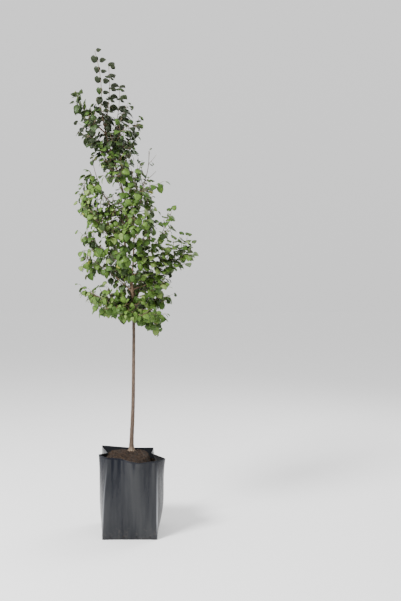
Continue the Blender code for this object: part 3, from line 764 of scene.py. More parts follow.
# Every branch, from the lowest to the highest: its name, where it leaves its parent, its bearing,
# reach, rise and bow, its bare share, its side twigs and its leaves' droop, and then what else is
# its own.
SECOND_LEADER = Branch("second_leader", 1.238, 180, 0.038, 0.690, -0.041, 0.62, 3, 0.6, facing=340)
BRANCHES = (
    Branch(
        "low_left", 1.130, 188, 0.215, 0.060, 0.06, 0.30, 4, 0.9, lift=0.9, tall=1.2, inner=3,
        tint=0.3,
    ),
    Branch(
        "low_front_left", 1.115, 222, 0.190, -0.010, -0.05, 0.0, 4, 0.9, lift=0.9, tall=1.2,
        inner=3,
    ),
    Branch("low_front", 1.085, 268, 0.150, 0.010, -0.05, 0.0, 3, 0.9, lift=0.8),
    Branch("low_front_right", 1.105, 325, 0.145, -0.010, -0.04, 0.0, 3, 0.8),
    Branch("low_right", 1.130, 8, 0.150, 0.045, 0.04, 0.25, 4, 0.7),
    Branch("drooping_right", 1.070, 352, 0.130, -0.050, -0.08, 0.0, 1, 0.9, fine=1.5),
    Branch("low_back_right", 1.120, 58, 0.180, 0.040, 0.04, 0.0, 3, 0.7),
    Branch("low_back", 1.095, 100, 0.175, 0.030, 0.04, 0.0, 3, 0.8),
    Branch("low_back_left", 1.140, 142, 0.180, 0.030, 0.04, 0.0, 4, 0.8),
    Branch("arching_left", 1.190, 180, 0.235, 0.170, -0.05, 0.40, 3, 0.9, lift=0.0, inner=5),
    Branch("mid_front_right", 1.165, 328, 0.170, 0.060, 0.06, 0.0, 3, 0.7),
    Branch(
        "mid_right", 1.178, 20, 0.150, 0.105, 0.08, 0.25, 3, 0.5, lift=1.4, fine=1.1, tall=1.3,
        inner=3,
    ),
    Branch(
        "far_right", 1.205, 2, 0.272, 0.198, 0.10, 0.33, 4, 0.0, lift=2.2, fine=1.2, tall=1.9,
        inner=5, leafing=0.75, large=1.15,
    ),
    Branch("mid_back", 1.195, 75, 0.190, 0.140, 0.06, 0.0, 4, 0.7),
    Branch("mid_back_left", 1.255, 128, 0.180, 0.150, 0.06, 0.0, 3, 0.7),
    Branch("mid_front", 1.270, 252, 0.165, 0.110, 0.06, 0.0, 3, 0.9),
    Branch(
        "rising_right", 1.320, 352, 0.178, 0.250, 0.09, 0.30, 4, 0.5, lift=0.1, fine=0.4, inner=2,
        leafing=0.85, parent=SECOND_LEADER,
    ),
    Branch(
        "level_left", 1.370, 184, 0.190, 0.105, 0.12, 0.30, 4, 0.9, lift=0.9, fine=1.3, tall=1.3,
        inner=2, tint=0.4,
    ),
    Branch("front", 1.385, 285, 0.180, 0.170, 0.08, 0.0, 3, 0.8),
    Branch(
        "left_front", 1.420, 208, 0.190, 0.165, 0.08, 0.0, 4, 0.6, lift=0.9, fine=1.3, tall=1.4,
        leafing=0.7,
    ),
    Branch(
        "left", 1.450, 172, 0.205, 0.215, 0.08, 0.25, 4, 0.6, lift=1.8, fine=1.4, tall=1.5,
        inner=4, tint=0.5,
    ),
    Branch("back", 1.465, 95, 0.180, 0.190, 0.08, 0.0, 3, 0.7),
    Branch(
        "inner_right", 1.400, 28, 0.090, 0.165, 0.10, 0.0, 3, 0.7, fine=0.6, parent=SECOND_LEADER,
    ),
    Branch(
        "upright_right", 1.460, 5, 0.060, 0.205, 0.12, 0.30, 2, 0.6, fine=0.5, leafing=0.55,
        parent=SECOND_LEADER,
    ),
    Branch(
        "bare_whip", 1.520, 176, 0.175, 0.355, 0.08, 0.55, 0, 0.5, lift=0.1, fine=0, inner=5,
        leafing=0.6, large=0.6,
    ),
    Branch(
        "left_cluster", 1.575, 190, 0.185, 0.210, 0.08, 0.30, 3, 0.5, lift=0.3, fine=0.6, inner=1,
        leafing=0.85, clear=0.3,
    ),
    Branch(
        "inner_front", 1.560, 295, 0.120, 0.160, 0.10, 0.0, 3, 0.6, leafing=0.5,
        parent=SECOND_LEADER,
    ),
    Branch(
        "inner_back", 1.600, 65, 0.120, 0.160, 0.10, 0.0, 3, 0.5, leafing=0.5, clear=0.2,
        parent=SECOND_LEADER,
    ),
    Branch(
        "side_spray", 1.640, 350, 0.082, 0.254, 0.10, 0.25, 2, 0.4, fine=0.4, leafing=0.3,
        large=0.6, parent=SECOND_LEADER,
    ),
    Branch("upper_front", 1.680, 245, 0.110, 0.150, 0.10, 0.0, 3, 0.2, lift=1.2, clear=0.35),
    Branch("upper_back", 1.735, 105, 0.110, 0.150, 0.10, 0.0, 3, 0.2, lift=1.2, clear=0.35),
    Branch("upper_left", 1.775, 203, 0.085, 0.115, 0.08, 0.0, 3, 0.2, lift=1.5, clear=0.3),
    Branch("top_front", 1.835, 285, 0.095, 0.160, 0.10, 0.0, 3, 0.7),
    Branch("top_back", 1.865, 85, 0.100, 0.155, 0.10, 0.0, 3, 0.7),
    Branch("fork_right", 1.850, 8, 0.124, 0.213, 0.05, 0.30, 0, 0.6, fine=0, ranks=50),
    Branch("shoulder_left", 1.905, 188, 0.115, 0.130, 0.08, 0.0, 4, 0.5),
    Branch(
        "right_whip", 1.930, 22, 0.055, 0.300, 0.06, 0.0, 1, 0.5, fine=0, tint=-0.5, ranks=50,
        facing=350,
    ),
    Branch(
        "left_whip", 1.985, 168, 0.155, 0.208, 0.05, 0.25, 1, 0.8, fine=0.8, large=1.2, tint=1.1,
    ),
    Branch(
        "middle_whip", 2.010, 325, 0.021, 0.322, 0.05, 0.0, 0, 0.5, fine=0, tint=-0.8, ranks=50,
        facing=350,
    ),
)
LEADER = Branch(
    "leader", STEM[-1].z, 184, 0.030, 0.279, -0.05, 0.0, 0, 0.3, fine=0, large=0.85, tint=-1.0,
    ranks=-85, facing=270,
)
ITEMS = (SECOND_LEADER, *BRANCHES, LEADER)
BRANCH_HALVINGS = 20


def stem_at(height):
    """The middle and radius of the stem at a height."""
    for i in range(len(STEM) - 1):
        if height <= STEM[i + 1].z or i == len(STEM) - 2:
            break
    before, start, end, after = (STEM[max(0, min(len(STEM) - 1, k))] for k in range(i - 1, i + 3))
    span = end.z - start.z
    t = (height - start.z) / span

    def along(axis):
        slope_in = (getattr(end, axis) - getattr(before, axis)) / (end.z - before.z)
        slope_out = (getattr(after, axis) - getattr(start, axis)) / (after.z - start.z)
        return hermite(getattr(start, axis), getattr(end, axis), span * slope_in, span * slope_out, t)

    radius = start.radius + (end.radius - start.radius) * t
    return Vector((along("x"), along("y"), height)), radius


def root_of(item):
    """Where a branch leaves the middle of its parent: the stem, or the second leader."""
    if item.parent is None:
        return stem_at(item.leave)[0]
    path = branch_path(item.parent)
    low, high = 0.0, 1.0
    for _ in range(BRANCH_HALVINGS):
        share = (low + high) / 2
        low, high = (share, high) if path(share).z < item.leave else (low, share)
    return path(share)


def branch_path(item):
    """The whole path of a branch, as a function of the share of its length."""
    start = root_of(item)
    angle = math.radians(item.bearing)
    outward = Vector((math.cos(angle), math.sin(angle), 0))
    chord = outward * item.reach + UP * item.rise
    hang = (outward * item.rise - UP * item.reach).normalized()
    middle = start + chord / 2 + hang * 2 * item.bow * chord.length
    end = start + chord

    def at(share):
        return start * (1 - share) ** 2 + middle * 2 * share * (1 - share) + end * share**2

    return at


STEM_SIDES = 52
STEM_RING_PITCH = 0.0017
FISSURE = 0.00042
LENTICELS = 900
LENTICEL_WIDE = 0.0011
LENTICEL_TALL = 0.0006
LENTICEL_PROUD = 0.00032
FIRST_KNUCKLE = 0.06
KNUCKLE_PITCH = 0.043
KNUCKLE_PROUD = 0.0009
KNUCKLE_WIDE = 0.7  # in radians round the stem, as COLLAR_WIDE
KNUCKLE_LONG = 0.005
COLLAR_PROUD = 0.0022
COLLAR_WIDE = 0.75
COLLAR_LONG = 0.011
GRAIN_ACROSS = 420
GRAIN_UPRIGHT = 60
GRAINED_RADIUS = 0.006  # thinner wood is smoother
ROOT_RIDGES = 5
ROOT_PROUD = 0.0032
ROOT_HIGH = 0.014


def swelling(angle, height, at_angle, at_height, wide, tall):
    """A soft bump on the stem, 1 at its middle; angle and wide are radians round the stem."""
    turn = (angle - at_angle + np.pi) % (2 * np.pi) - np.pi
    return np.exp(-((turn / wide) ** 2) - ((height - at_height) / tall) ** 2)


def knuckles(draw):
    """The side and height of each old bud, on one side of the stem and then the other."""
    side = 0.4
    height = STEM[0].z + FIRST_KNUCKLE
    while height < STEM[-1].z:
        yield side, height
        side += math.pi + draw.uniform(-0.4, 0.4)
        height += KNUCKLE_PITCH * draw.uniform(0.8, 1.2)


def stem_relief(angle, height):
    """How far the bark stands proud of the plain stem."""
    draw = random.Random("stem")
    foot = STEM[0].z
    ridges = np.cos(ROOT_RIDGES * angle + 0.7) + 0.5 * np.cos(2 * angle + 2.0)
    proud = ROOT_PROUD * ridges * np.exp(-(height - foot) / ROOT_HIGH)
    for side, knuckle in knuckles(draw):
        proud += KNUCKLE_PROUD * swelling(angle, height, side, knuckle, KNUCKLE_WIDE, KNUCKLE_LONG)
    for item in ITEMS:
        if item.parent is None and item is not LEADER:
            side = math.radians(item.bearing)
            proud += COLLAR_PROUD * swelling(angle, height, side, item.leave, COLLAR_WIDE, COLLAR_LONG)
    for _ in range(LENTICELS):
        at = foot + (STEM[-1].z - foot) * draw.random() ** 1.4
        near = np.abs(height[:, 0] - at) < 4 * LENTICEL_TALL
        wide = LENTICEL_WIDE * draw.uniform(0.7, 1.5) / stem_at(at)[1]
        side = draw.uniform(-math.pi, math.pi)
        spot = swelling(angle[near], height[near], side, at, wide, LENTICEL_TALL)
        proud[near] += LENTICEL_PROUD * draw.uniform(0.6, 1.2) * spot
    return proud


heights = np.arange(STEM[0].z, STEM[-1].z, STEM_RING_PITCH)
angles = np.linspace(0, 2 * np.pi, STEM_SIDES, endpoint=False)
angle_grid, height_grid = np.meshgrid(angles, heights)
middles, radii = zip(*(stem_at(height) for height in heights))
radius_grid = np.array(radii)[:, None] + stem_relief(angle_grid, height_grid)
points, faces = [], []
for i, middle in enumerate(middles):
    for j, angle in enumerate(angles):
        outward = Vector((math.cos(angle), math.sin(angle), 0))
        radius = radius_grid[i, j]
        grain = outward * radius * GRAIN_ACROSS + UP * middle.z * GRAIN_UPRIGHT
        radius += FISSURE * noise.noise(grain) * min(1, radius / GRAINED_RADIUS)
        points.append(middle + outward * radius)
for i in range(len(middles) - 1):
    ring_band(faces, i * STEM_SIDES, (i + 1) * STEM_SIDES, STEM_SIDES)
ring_disc(points, faces, 0, STEM_SIDES, turned=True)
ring_disc(points, faces, (len(middles) - 1) * STEM_SIDES, STEM_SIDES)
trunk = new_object("trunk_bark", points, faces)
trunk.data.shade_smooth()

BARK_LOW = (0.105, 0.071, 0.050)
BARK_LOW_DARK = (0.052, 0.034, 0.024)
BARK_HIGH = (0.240, 0.158, 0.100)
BARK_HIGH_DARK = (0.100, 0.060, 0.037)
BARK_FOOT = (0.175, 0.125, 0.085)
BARK_SPOT = (0.30, 0.24, 0.19)
BROWN_TO_TAN = (1.06, 1.24)  # the heights between which the colour changes
PALE_FOOT = (0.452, 0.420)


def bark_finish(name):
    """Grey-brown bark that turns tan above chest height and paler at the foot of the stem."""
    made = Finish(name, Specular_IOR_Level=0.35)
    height = made.node("ShaderNodeSeparateXYZ", inputs={0: made.place}, output="Z")
    streaks = made.noise(260, 4, made.stretched(DRAWN))
    patches = made.noise(28, 4, made.stretched((1, 1, 0.5)))
    low = made.mixed(made.between(streaks, 0.35, 0.68), BARK_LOW_DARK, BARK_LOW)
    high = made.mixed(made.between(streaks, 0.30, 0.62), BARK_HIGH_DARK, BARK_HIGH)
    colour = made.mixed(made.between(height + patches * 0.12, *BROWN_TO_TAN), low, high)
    foot = made.between(height + patches * 0.03, *PALE_FOOT)
    colour = made.mixed(foot * 0.8, colour, BARK_FOOT)
    spots = made.node("ShaderNodeTexVoronoi", inputs={
        "Vector": made.stretched((1, 1, 1.9)), "Scale": 150,
    })
    pale = made.between(spots, 0.20, 0.10) * 0.5
    made.paint("Base Color", made.mixed(pale, colour, BARK_SPOT))
    made.paint("Roughness", made.between(streaks, 0.3, 0.7, 0.62, 0.85))
    made.relief(streaks * 0.7 + made.noise(1300, 3) * 0.3, 0.0006)
    return made.material


bark = bark_finish("bark")
trunk.data.materials.append(bark)
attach(trunk, "root")
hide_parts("trunk")

# The boughs and the roots' tops. Each bough is the bare first share of a branch, of the same bark
# as the stem, thick where it leaves its parent and thinner towards its shoots. The roots' tops
# spread from the flare and dip into the soil.

BOUGH_RADIUS = 0.0034
LEADER_BOUGH_RADIUS = 0.0046
FOLIAGE_STEM_RADIUS = 0.0026
SHORTEST_TAPER = 0.3
BOUGH_STEPS = 26
ROOT_TOPS = (20, 95, 170, 235, 305)  # the bearings of roots that show at the foot of the stem
ROOT_REACH = 0.030
ROOT_RADIUS = 0.0062
ROOT_TAPER = 0.65
ROOT_START = 0.016
ROOT_FALL = 0.026
ROOT_STEPS = 8
COLLAR_REACH = 0.014
COLLAR_SWELL = 0.7


def bough_radius(item, share):
    root = LEADER_BOUGH_RADIUS if item is SECOND_LEADER else BOUGH_RADIUS
    return root + (FOLIAGE_STEM_RADIUS - root) * min(1, share / max(item.bare, SHORTEST_TAPER))


limbs = Recipe("limbs", Sides="Int", Relief="Float", Grain="Float", Finish="Material")
lines = limbs.node("GeometryNodeMeshToCurve", None, {0: limbs.input("Geometry")})
ring = limbs.node(
    "GeometryNodeCurvePrimitiveCircle", None, {"Resolution": limbs.input("Sides"), "Radius": 1.0}
)
tubes = limbs.node("GeometryNodeCurveToMesh", None, {
    "Curve": lines, "Profile Curve": ring, "Scale": limbs.attribute("thickness"), "Fill Caps": True,
})
bumps = limbs.node(
    "ShaderNodeTexNoise", None, {"Scale": limbs.input("Grain"), "Detail": 2.0}
) - 0.5
facing = limbs.node("GeometryNodeInputNormal")
bumps = limbs.node(
    "ShaderNodeVectorMath", {"operation": "SCALE"},
    {0: facing, "Scale": bumps * limbs.input("Relief") * limbs.attribute("thickness")},
)
tubes = limbs.node("GeometryNodeSetPosition", None, {"Geometry": tubes, "Offset": bumps})
tubes = limbs.node("GeometryNodeRealizeInstances", None, {0: tubes})
limbs.finish(limbs.node(
    "GeometryNodeSetMaterial", None, {"Geometry": tubes, "Material": limbs.input("Finish")}
))


def limb_lines(name, routes):
    """An object of lines for the recipe above, each with its thickness from point to point."""
    points, edges, thickness = [], [], []
    for route, radii in routes:
        start = len(points)
        points += route
        thickness += radii
        edges += [(start + i, start + i + 1) for i in range(len(route) - 1)]
    made = new_object(name, points, [], edges)
    made.data.attributes.new("thickness", "FLOAT", "POINT").data.foreach_set("value", thickness)
    return made


def bough_route(item):
    """The middle line of a bough and its thickness along it, with a swollen collar at its root."""
    path = branch_path(item)
    shares = [item.bare * i / BOUGH_STEPS for i in range(BOUGH_STEPS + 1)]
    route = [path(share) for share in shares]
    thickness = []
    for share, point in zip(shares, route):
        swell = 1 + COLLAR_SWELL * math.exp(-(point - route[0]).length / COLLAR_REACH)
        thickness.append(bough_radius(item, share) * swell)
    return route, thickness


def root_route(bearing):
    """The middle line of a root's top and its thickness along it."""
    angle = math.radians(bearing)
    outward = Vector((math.cos(angle), math.sin(angle), 0))
    shares = [i / ROOT_STEPS for i in range(ROOT_STEPS + 1)]
    route = [
        STEM_FOOT + outward * ROOT_REACH * share + UP * (ROOT_START - ROOT_FALL * share**0.7)
        for share in shares
    ]
    return route, [ROOT_RADIUS * (1 - ROOT_TAPER * share) for share in shares]


routes = [bough_route(item) for item in ITEMS if item.bare]
routes += [root_route(bearing) for bearing in ROOT_TOPS]
boughs = limb_lines("boughs_bark", routes)
limbs.make(boughs, Sides=14, Relief=0.22, Grain=260.0, Finish=bark_finish("bough_bark"))
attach(boughs, "root")
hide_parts(*("bough_" + item.name for item in ITEMS if item.bare))

# The shoots. From the end of its bough, or straight from the stem, each branch goes on as a leafy
# shoot with side twigs and, off those, short fine twigs. They are this year's and last year's
# wood: smooth, brown in the light, and slightly curved.

SHOOT_TIP_RADIUS = 0.0011
SHOOT_STEPS = 12
WHIP_RADIUS = 0.0021
TWIG_LENGTH = 0.105
TWIG_LENGTHS = (0.8, 1.2)
TWIG_SHORTENS = 0.6
TWIG_RADIUS = 0.0017
TWIG_ANGLE = math.radians(48)
TWIG_ANGLE_VARIES = 0.2
TWIG_LIFT = 0.15
TWIG_SAG = 0.03
TWIGS_FROM = 0.12
TWIGS_TO = 0.86
RANKS_VARY = 25
STEM_LEAFY = 1.86  # above this height the stem itself carries leaves
SPURS = 13
SPUR_HEIGHTS = (1.900, 2.105)
SPUR_LENGTHS = (0.05, 0.085)
SPUR_TURN = 2.4  # from one spur to the next, in radians round the stem
FINE_PITCH = 0.040
FINE_LENGTHS = (0.028, 0.062)
FINE_RADIUS = 0.0011
FINE_TIP_RADIUS = 0.0007
FINE_FROM = 0.016
FINE_SAG = 0.04
FINE_AHEAD = 0.7
FINE_ASIDE = 0.9
FINE_LIFT_VARIES = 0.3
FINE_RANKS_VARY = 60
LONG_SAG = 0.06
LINE_PITCH = 0.012  # between the points of a twig's line
WOOD_DARK = (0.070, 0.045, 0.032)
WOOD_PALE = (0.130, 0.095, 0.058)

# Longer leafy twigs that fill out single places of the crown: the share of the branch's path where
# each leaves, and where its tip is.
LONG_TWIGS = {
    "low_left": (
        (0.15, (-0.029, -0.06, 1.246)), (0.22, (-0.044, -0.09, 1.201)),
        (0.32, (-0.064, -0.05, 1.231)), (0.45, (-0.109, -0.04, 1.217)),
        (0.6, (-0.149, -0.02, 1.207)),
    ),
    "level_left": (
        (0.25, (-0.069, -0.06, 1.432)), (0.4, (-0.103, -0.05, 1.448)),
    ),
    "left": (
        (0.2, (-0.059, -0.05, 1.556)), (0.32, (-0.083, -0.06, 1.589)),
        (0.38, (-0.099, -0.02, 1.649)), (0.42, (-0.109, -0.03, 1.623)),
        (0.5, (-0.129, -0.02, 1.669)), (0.55, (-0.143, -0.05, 1.645)),
        (0.62, (-0.158, -0.04, 1.686)), (0.68, (-0.17, 0.0, 1.672)),
        (0.45, (-0.088, -0.07, 1.539)), (0.9, (-0.198, -0.03, 1.717)),
        (0.95, (-0.23, 0.0, 1.757)),
    ),
    "bare_whip": (
        (0.06, (-0.054, -0.04, 1.681)), (0.1, (-0.039, -0.05, 1.694)),
        (0.15, (-0.084, -0.03, 1.663)), (0.03, (-0.015, -0.06, 1.663)),
        (0.05, (-0.029, -0.06, 1.643)), (0.08, (-0.044, -0.04, 1.691)),
        (0.12, (-0.059, -0.05, 1.664)), (0.2, (-0.089, -0.02, 1.659)),
        (0.26, (-0.115, 0.0, 1.672)),
    ),
    "left_cluster": (
        (0.8, (-0.194, -0.02, 1.759)), (0.95, (-0.22, 0.0, 1.772)),
    ),
    "far_right": (
        (0.28, (0.049, -0.08, 1.391)), (0.34, (0.079, -0.03, 1.37)),
        (0.4, (0.103, -0.06, 1.398)), (0.46, (0.113, -0.05, 1.354)),
        (0.52, (0.14, 0.0, 1.382)), (0.57, (0.157, -0.06, 1.412)),
        (0.62, (0.183, -0.04, 1.38)), (0.66, (0.189, -0.02, 1.431)),
        (0.74, (0.212, -0.05, 1.443)), (0.82, (0.24, 0.0, 1.427)),
        (0.86, (0.258, -0.02, 1.461)), (0.94, (0.285, 0.0, 1.462)),
    ),
    "rising_right": (
        (0.12, (0.034, -0.05, 1.399)), (0.22, (0.054, -0.06, 1.432)),
        (0.26, (0.054, -0.08, 1.338)), (0.3, (0.073, -0.07, 1.363)),
        (0.38, (0.079, -0.05, 1.438)), (0.48, (0.093, -0.06, 1.462)),
        (0.55, (0.119, -0.04, 1.439)), (0.66, (0.148, -0.05, 1.477)),
        (0.82, (0.169, -0.02, 1.55)), (0.92, (0.19, 0.0, 1.587)),
    ),
    "front": (
        (0.4, (-0.01, -0.11, 1.558)), (0.6, (0.01, -0.12, 1.605)),
    ),
    "upright_right": (
        (0.75, (0.11, 0.0, 1.662)), (0.9, (0.1, 0.0, 1.737)),
    ),
    "inner_right": (
        (0.9, (0.09, 0.0, 1.592)),
    ),
    "side_spray": (
        (0.15, (0.034, -0.05, 1.782)), (0.35, (0.045, -0.03, 1.816)),
        (0.5, (0.04, 0.0, 1.862)),
    ),
    "fork_right": (
        (0.25, (-0.03, -0.03, 2.004)), (0.45, (-0.005, -0.02, 2.027)),
        (0.6, (0.025, 0.0, 2.037)),
    ),
    "right_whip": (
        (0.08, (-0.045, -0.03, 2.049)), (0.2, (-0.025, -0.02, 2.087)),
        (0.34, (-0.015, -0.02, 2.121)),
    ),
    "middle_whip": (
        (0.03, (-0.109, -0.03, 2.049)), (0.1, (-0.139, -0.03, 2.074)),
    ),
    "left_whip": (
        (0.3, (-0.173, -0.03, 2.074)), (0.42, (-0.193, -0.03, 2.094)),
        (0.58, (-0.219, -0.02, 2.116)), (0.9, (-0.265, 0.0, 2.178)),
    ),
    "shoulder_left": (
        (0.9, (-0.23, 0.0, 2.067)),
    ),
    "inner_front": (
        (0.02, (-0.005, -0.06, 1.687)), (0.06, (-0.029, -0.07, 1.695)),
        (0.12, (-0.015, -0.07, 1.656)), (0.3, (-0.015, -0.09, 1.736)),
        (0.55, (0.005, -0.09, 1.794)),
    ),
}


class Shoot(NamedTuple):
    """A shoot of a branch: a line through its middle, and its radius at the line's two ends."""

    item: Branch
    kind: str  # stem, side, fine, long or spur
    points: list
    thick: float
    thin: float


def path_length(points):
    return sum((end - start).length for start, end in zip(points, points[1:]))


def along_shoot(points, distance):
    """The point and direction at a distance along a shoot."""
    for start, end in zip(points, points[1:]):
        step = (end - start).length
        if distance <= step or end is points[-1]:
            direction = (end - start) / step
            return start + direction * min(distance, step), direction
        distance -= step
    raise ValueError("a shoot needs two points or more")


def side_of(item, direction, ranks, left):
    """The way a leaf or a side twig leaves its shoot, in one of the shoot's two rows."""
    angle = math.radians(item.bearing if item.facing is None else item.facing)
    outward = Vector((math.cos(angle), math.sin(angle), 0))
    hang = outward * direction.z - UP * max(0.0, direction.dot(outward))
    hang -= direction * hang.dot(direction)
    if hang.length < 1e-6:
        hang = outward
    turn = Matrix.Rotation(math.radians(ranks if left else -ranks), 3, direction)
    return turn @ hang.normalized()


def curved(root, tip, sag):
    """Points of a slightly curved twig."""
    length = (tip - root).length
    steps = max(3, round(length / LINE_PITCH))
    return [
        root.lerp(tip, i / steps) - UP * sag * length * 4 * (i / steps) * (1 - i / steps)
        for i in range(steps + 1)
    ]


def fine_shoot(item, kind, root, tip):
    return Shoot(item, kind, curved(root, tip, FINE_SAG), FINE_RADIUS, FINE_TIP_RADIUS)


def side_twigs(item, stem):
    """The longer twigs on both sides of a branch's leafy stem, shorter towards its tip."""
    draw = random.Random(item.name)
    first = max(TWIGS_FROM, item.clear)
    for i in range(item.twigs):
        share = first + (TWIGS_TO - first) * (i + draw.uniform(-0.2, 0.2) + 0.5) / item.twigs
        root, ahead = along_shoot(stem, share * path_length(stem))
        ranks = item.ranks + draw.uniform(-RANKS_VARY, RANKS_VARY)
        side = side_of(item, ahead, ranks, i % 2 == 0)
        angle = TWIG_ANGLE + draw.uniform(-TWIG_ANGLE_VARIES, TWIG_ANGLE_VARIES)
        heading = ahead * math.cos(angle) + side * math.sin(angle) + UP * TWIG_LIFT
        length = TWIG_LENGTH * (1.1 - TWIG_SHORTENS * share) * draw.uniform(*TWIG_LENGTHS)
        tip = root + heading.normalized() * length
        yield Shoot(item, "side", curved(root, tip, TWIG_SAG), TWIG_RADIUS, SHOOT_TIP_RADIUS)


def fine_twigs(item, parent, draw):
    """The short fine twigs on both sides of a shoot."""
    length = path_length(parent.points)
    start = FINE_FROM + (item.clear * length if parent.kind == "stem" else 0)
    count = int((length - start) / FINE_PITCH * item.fine)
    for i in range(count):
        distance = start + (length - start) * (i + draw.uniform(0.2, 0.8)) / count
        root, ahead = along_shoot(parent.points, distance)
        ranks = item.ranks + draw.uniform(-FINE_RANKS_VARY, FINE_RANKS_VARY)
        side = side_of(item, ahead, ranks, (i % 2 == 1) == (parent.kind == "stem"))
        lift = item.lift + draw.uniform(-FINE_LIFT_VARIES, FINE_LIFT_VARIES)
        heading = ahead * FINE_AHEAD + side * FINE_ASIDE + UP * lift
        tall = 1 + (item.tall - 1) * (1 - distance / length)
        tip = root + heading.normalized() * draw.uniform(*FINE_LENGTHS) * tall
        yield fine_shoot(item, "fine", root, tip)


def inner_twigs(item, draw):
    """The fine twigs on a bough itself, which rise to any side."""
    path = branch_path(item)
    for i in range(item.inner):
        root = path(item.bare * (i + 1) / (item.inner + 1))
        across = Vector((draw.uniform(-1, 1), draw.uniform(-1, 1), 0)).normalized() * 0.8
        heading = (UP * (item.lift + 0.3) + across).normalized()
        yield fine_shoot(item, "fine", root, root + heading * draw.uniform(*FINE_LENGTHS) * item.tall)


def shoots_of(item):
    """The shoots of one branch: its own leafy stem, its side twigs, and their fine twigs."""
    path = branch_path(item)
    stem = [path(item.bare + (1 - item.bare) * i / SHOOT_STEPS) for i in range(SHOOT_STEPS + 1)]
    thick = FOLIAGE_STEM_RADIUS if item.bare or item.fine else WHIP_RADIUS
    parents = [Shoot(item, "stem", stem, thick, SHOOT_TIP_RADIUS), *side_twigs(item, stem)]
    made = list(parents)
    draw = random.Random(item.name + " fine")
    for parent in parents:
        made += fine_twigs(item, parent, draw)
    made += inner_twigs(item, draw)
    for share, tip in LONG_TWIGS.get(item.name, ()):
        line = curved(path(share), Vector(tip), LONG_SAG)
        made.append(Shoot(item, "long", line, TWIG_RADIUS, SHOOT_TIP_RADIUS))
    return made


def stem_spurs():
    """Short leafy twigs round the top of the stem, each turned on from the one below."""
    draw = random.Random("spurs")
    low, high = SPUR_HEIGHTS
    for i in range(SPURS):
        angle = SPUR_TURN * i + 0.4
        root = stem_at(low + (high - low) * i / (SPURS - 1))[0]
        heading = Vector((math.cos(angle), math.sin(angle) * 0.7, 0.9)).normalized()
        yield fine_shoot(LEADER, "spur", root, root + heading * draw.uniform(*SPUR_LENGTHS))


def tapered(shoot):
    steps = len(shoot.points) - 1
    return [shoot.thick + (shoot.thin - shoot.thick) * i / steps for i in range(steps + 1)]


shoots = [shoot for item in ITEMS for shoot in shoots_of(item)]
shoots += stem_spurs()
wood = Finish("young_wood", Specular_IOR_Level=0.45)
tone = wood.between(wood.noise(55, 3), 0.35, 0.65)
wood.paint("Base Color", wood.mixed(tone, WOOD_DARK, WOOD_PALE))
wood.paint("Roughness", wood.between(wood.noise(700, 2), 0.3, 0.7, 0.42, 0.62))
wood.relief(wood.noise(900, 3), 0.0003)
twigs = limb_lines("shoots_and_twigs", [(shoot.points, tapered(shoot)) for shoot in shoots])
limbs.make(twigs, Sides=8, Relief=0.25, Grain=220.0, Finish=wood.material)
masses = ["leaves_" + item.name for item in ITEMS]
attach(twigs, "root")
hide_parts(*masses)

# The leaves. A linden's leaf is a lopsided heart with a drawn-out tip, 3 to 5 cm long, that hangs
# from a thin stalk. They stand in two rows along every shoot. The upper face is smooth and green,
# the underside paler and greyer, and the veins show as fine grooves.

# Half of the blade's edge, from the stalk round a lobe to the tip, as shares of its length, and
# the places along the midrib that its rows start from.
LEAF_EDGE = (
    (0.00, 0.00), (-0.10, 0.09), (-0.15, 0.21), (-0.10, 0.35), (0.05, 0.46), (0.25, 0.50),
    (0.46, 0.455), (0.65, 0.335), (0.81, 0.18), (0.92, 0.065), (1.00, 0.00),
)
LEAF_RIB = (0.0, 0.01, 0.03, 0.07, 0.16, 0.32, 0.50, 0.68, 0.83, 0.93, 1.0)
LEAF_MIDWAY = 0.55
BLADE_MAP = 0.8  # the leaf's length on its own map
LEAF_THICK = 0.008  # of its length
TOOTH = 0.018
# Forms that a leaf is picked from: how far it arches lengthwise in radians, how far its edges are
# raised, their waviness, and how much fuller its right half is.
LEAF_FORMS = (
    (0.9, 0.10, 0.02, 1.05),
    (1.3, -0.18, 0.03, 0.95),
    (0.6, 0.26, 0.02, 1.06),
    (1.7, -0.05, 0.04, 0.97),
    (1.1, -0.28, 0.03, 1.04),
    (1.8, -0.55, 0.02, 1.02),
)


def leaf_rows(fuller):
    """A flat leaf 1 long along +X, as rows of places from edge to edge."""
    rows = []
    for row, ((along, across), rib) in enumerate(zip(LEAF_EDGE, LEAF_RIB)):
        tooth = 1 + (TOOTH if row % 2 else -TOOTH)
        edge = Vector((along, across * tooth, 0))
        spine = Vector((rib, 0, 0))
        half = [spine, spine.lerp(edge, LEAF_MIDWAY), edge]
        left = [Vector((place.x, place.y * (2 - fuller), 0)) for place in half[:0:-1]]
        right = [Vector((place.x, -place.y * fuller, 0)) for place in half]
        rows.append(left + right)
    return rows


def bent(place, arch, cup, wave, lift):
    """Where a place of the flat leaf lies once the leaf is arched, cupped and wavy."""
    turn = arch * place.x
    ripple = math.sin(place.x * 11 + place.y * 3)
    rise = cup * abs(place.y) ** 1.4 + wave * ripple * abs(place.y)
    rise += lift
    return Vector((
        math.sin(turn) / arch + rise * math.sin(turn),
        place.y,
        -(1 - math.cos(turn)) / arch + rise * math.cos(turn),
    ))


def leaf_sheets(bm, rows, bend):
    """The vertices of a leaf's two sheets, which share their rim, and each one's flat place."""
    flat = {}
    sheets = []
    for side in (1, -1):
        sheet = []
        for row, places in enumerate(rows):
            made = []
            for i, place in enumerate(places):
                rim = i in (0, len(places) - 1) or row in (0, len(rows) - 1)
                if rim and side < 0:
                    made.append(sheets[0][row][i])
                elif row in (0, len(rows) - 1) and i:
                    made.append(made[0])
                else:
                    lift = 0 if rim else side * LEAF_THICK / 2
                    vertex = bm.verts.new(bent(place, *bend, lift))
                    flat[vertex] = place
                    made.append(vertex)
            sheet.append(made)
        sheets.append(sheet)
    return sheets, flat


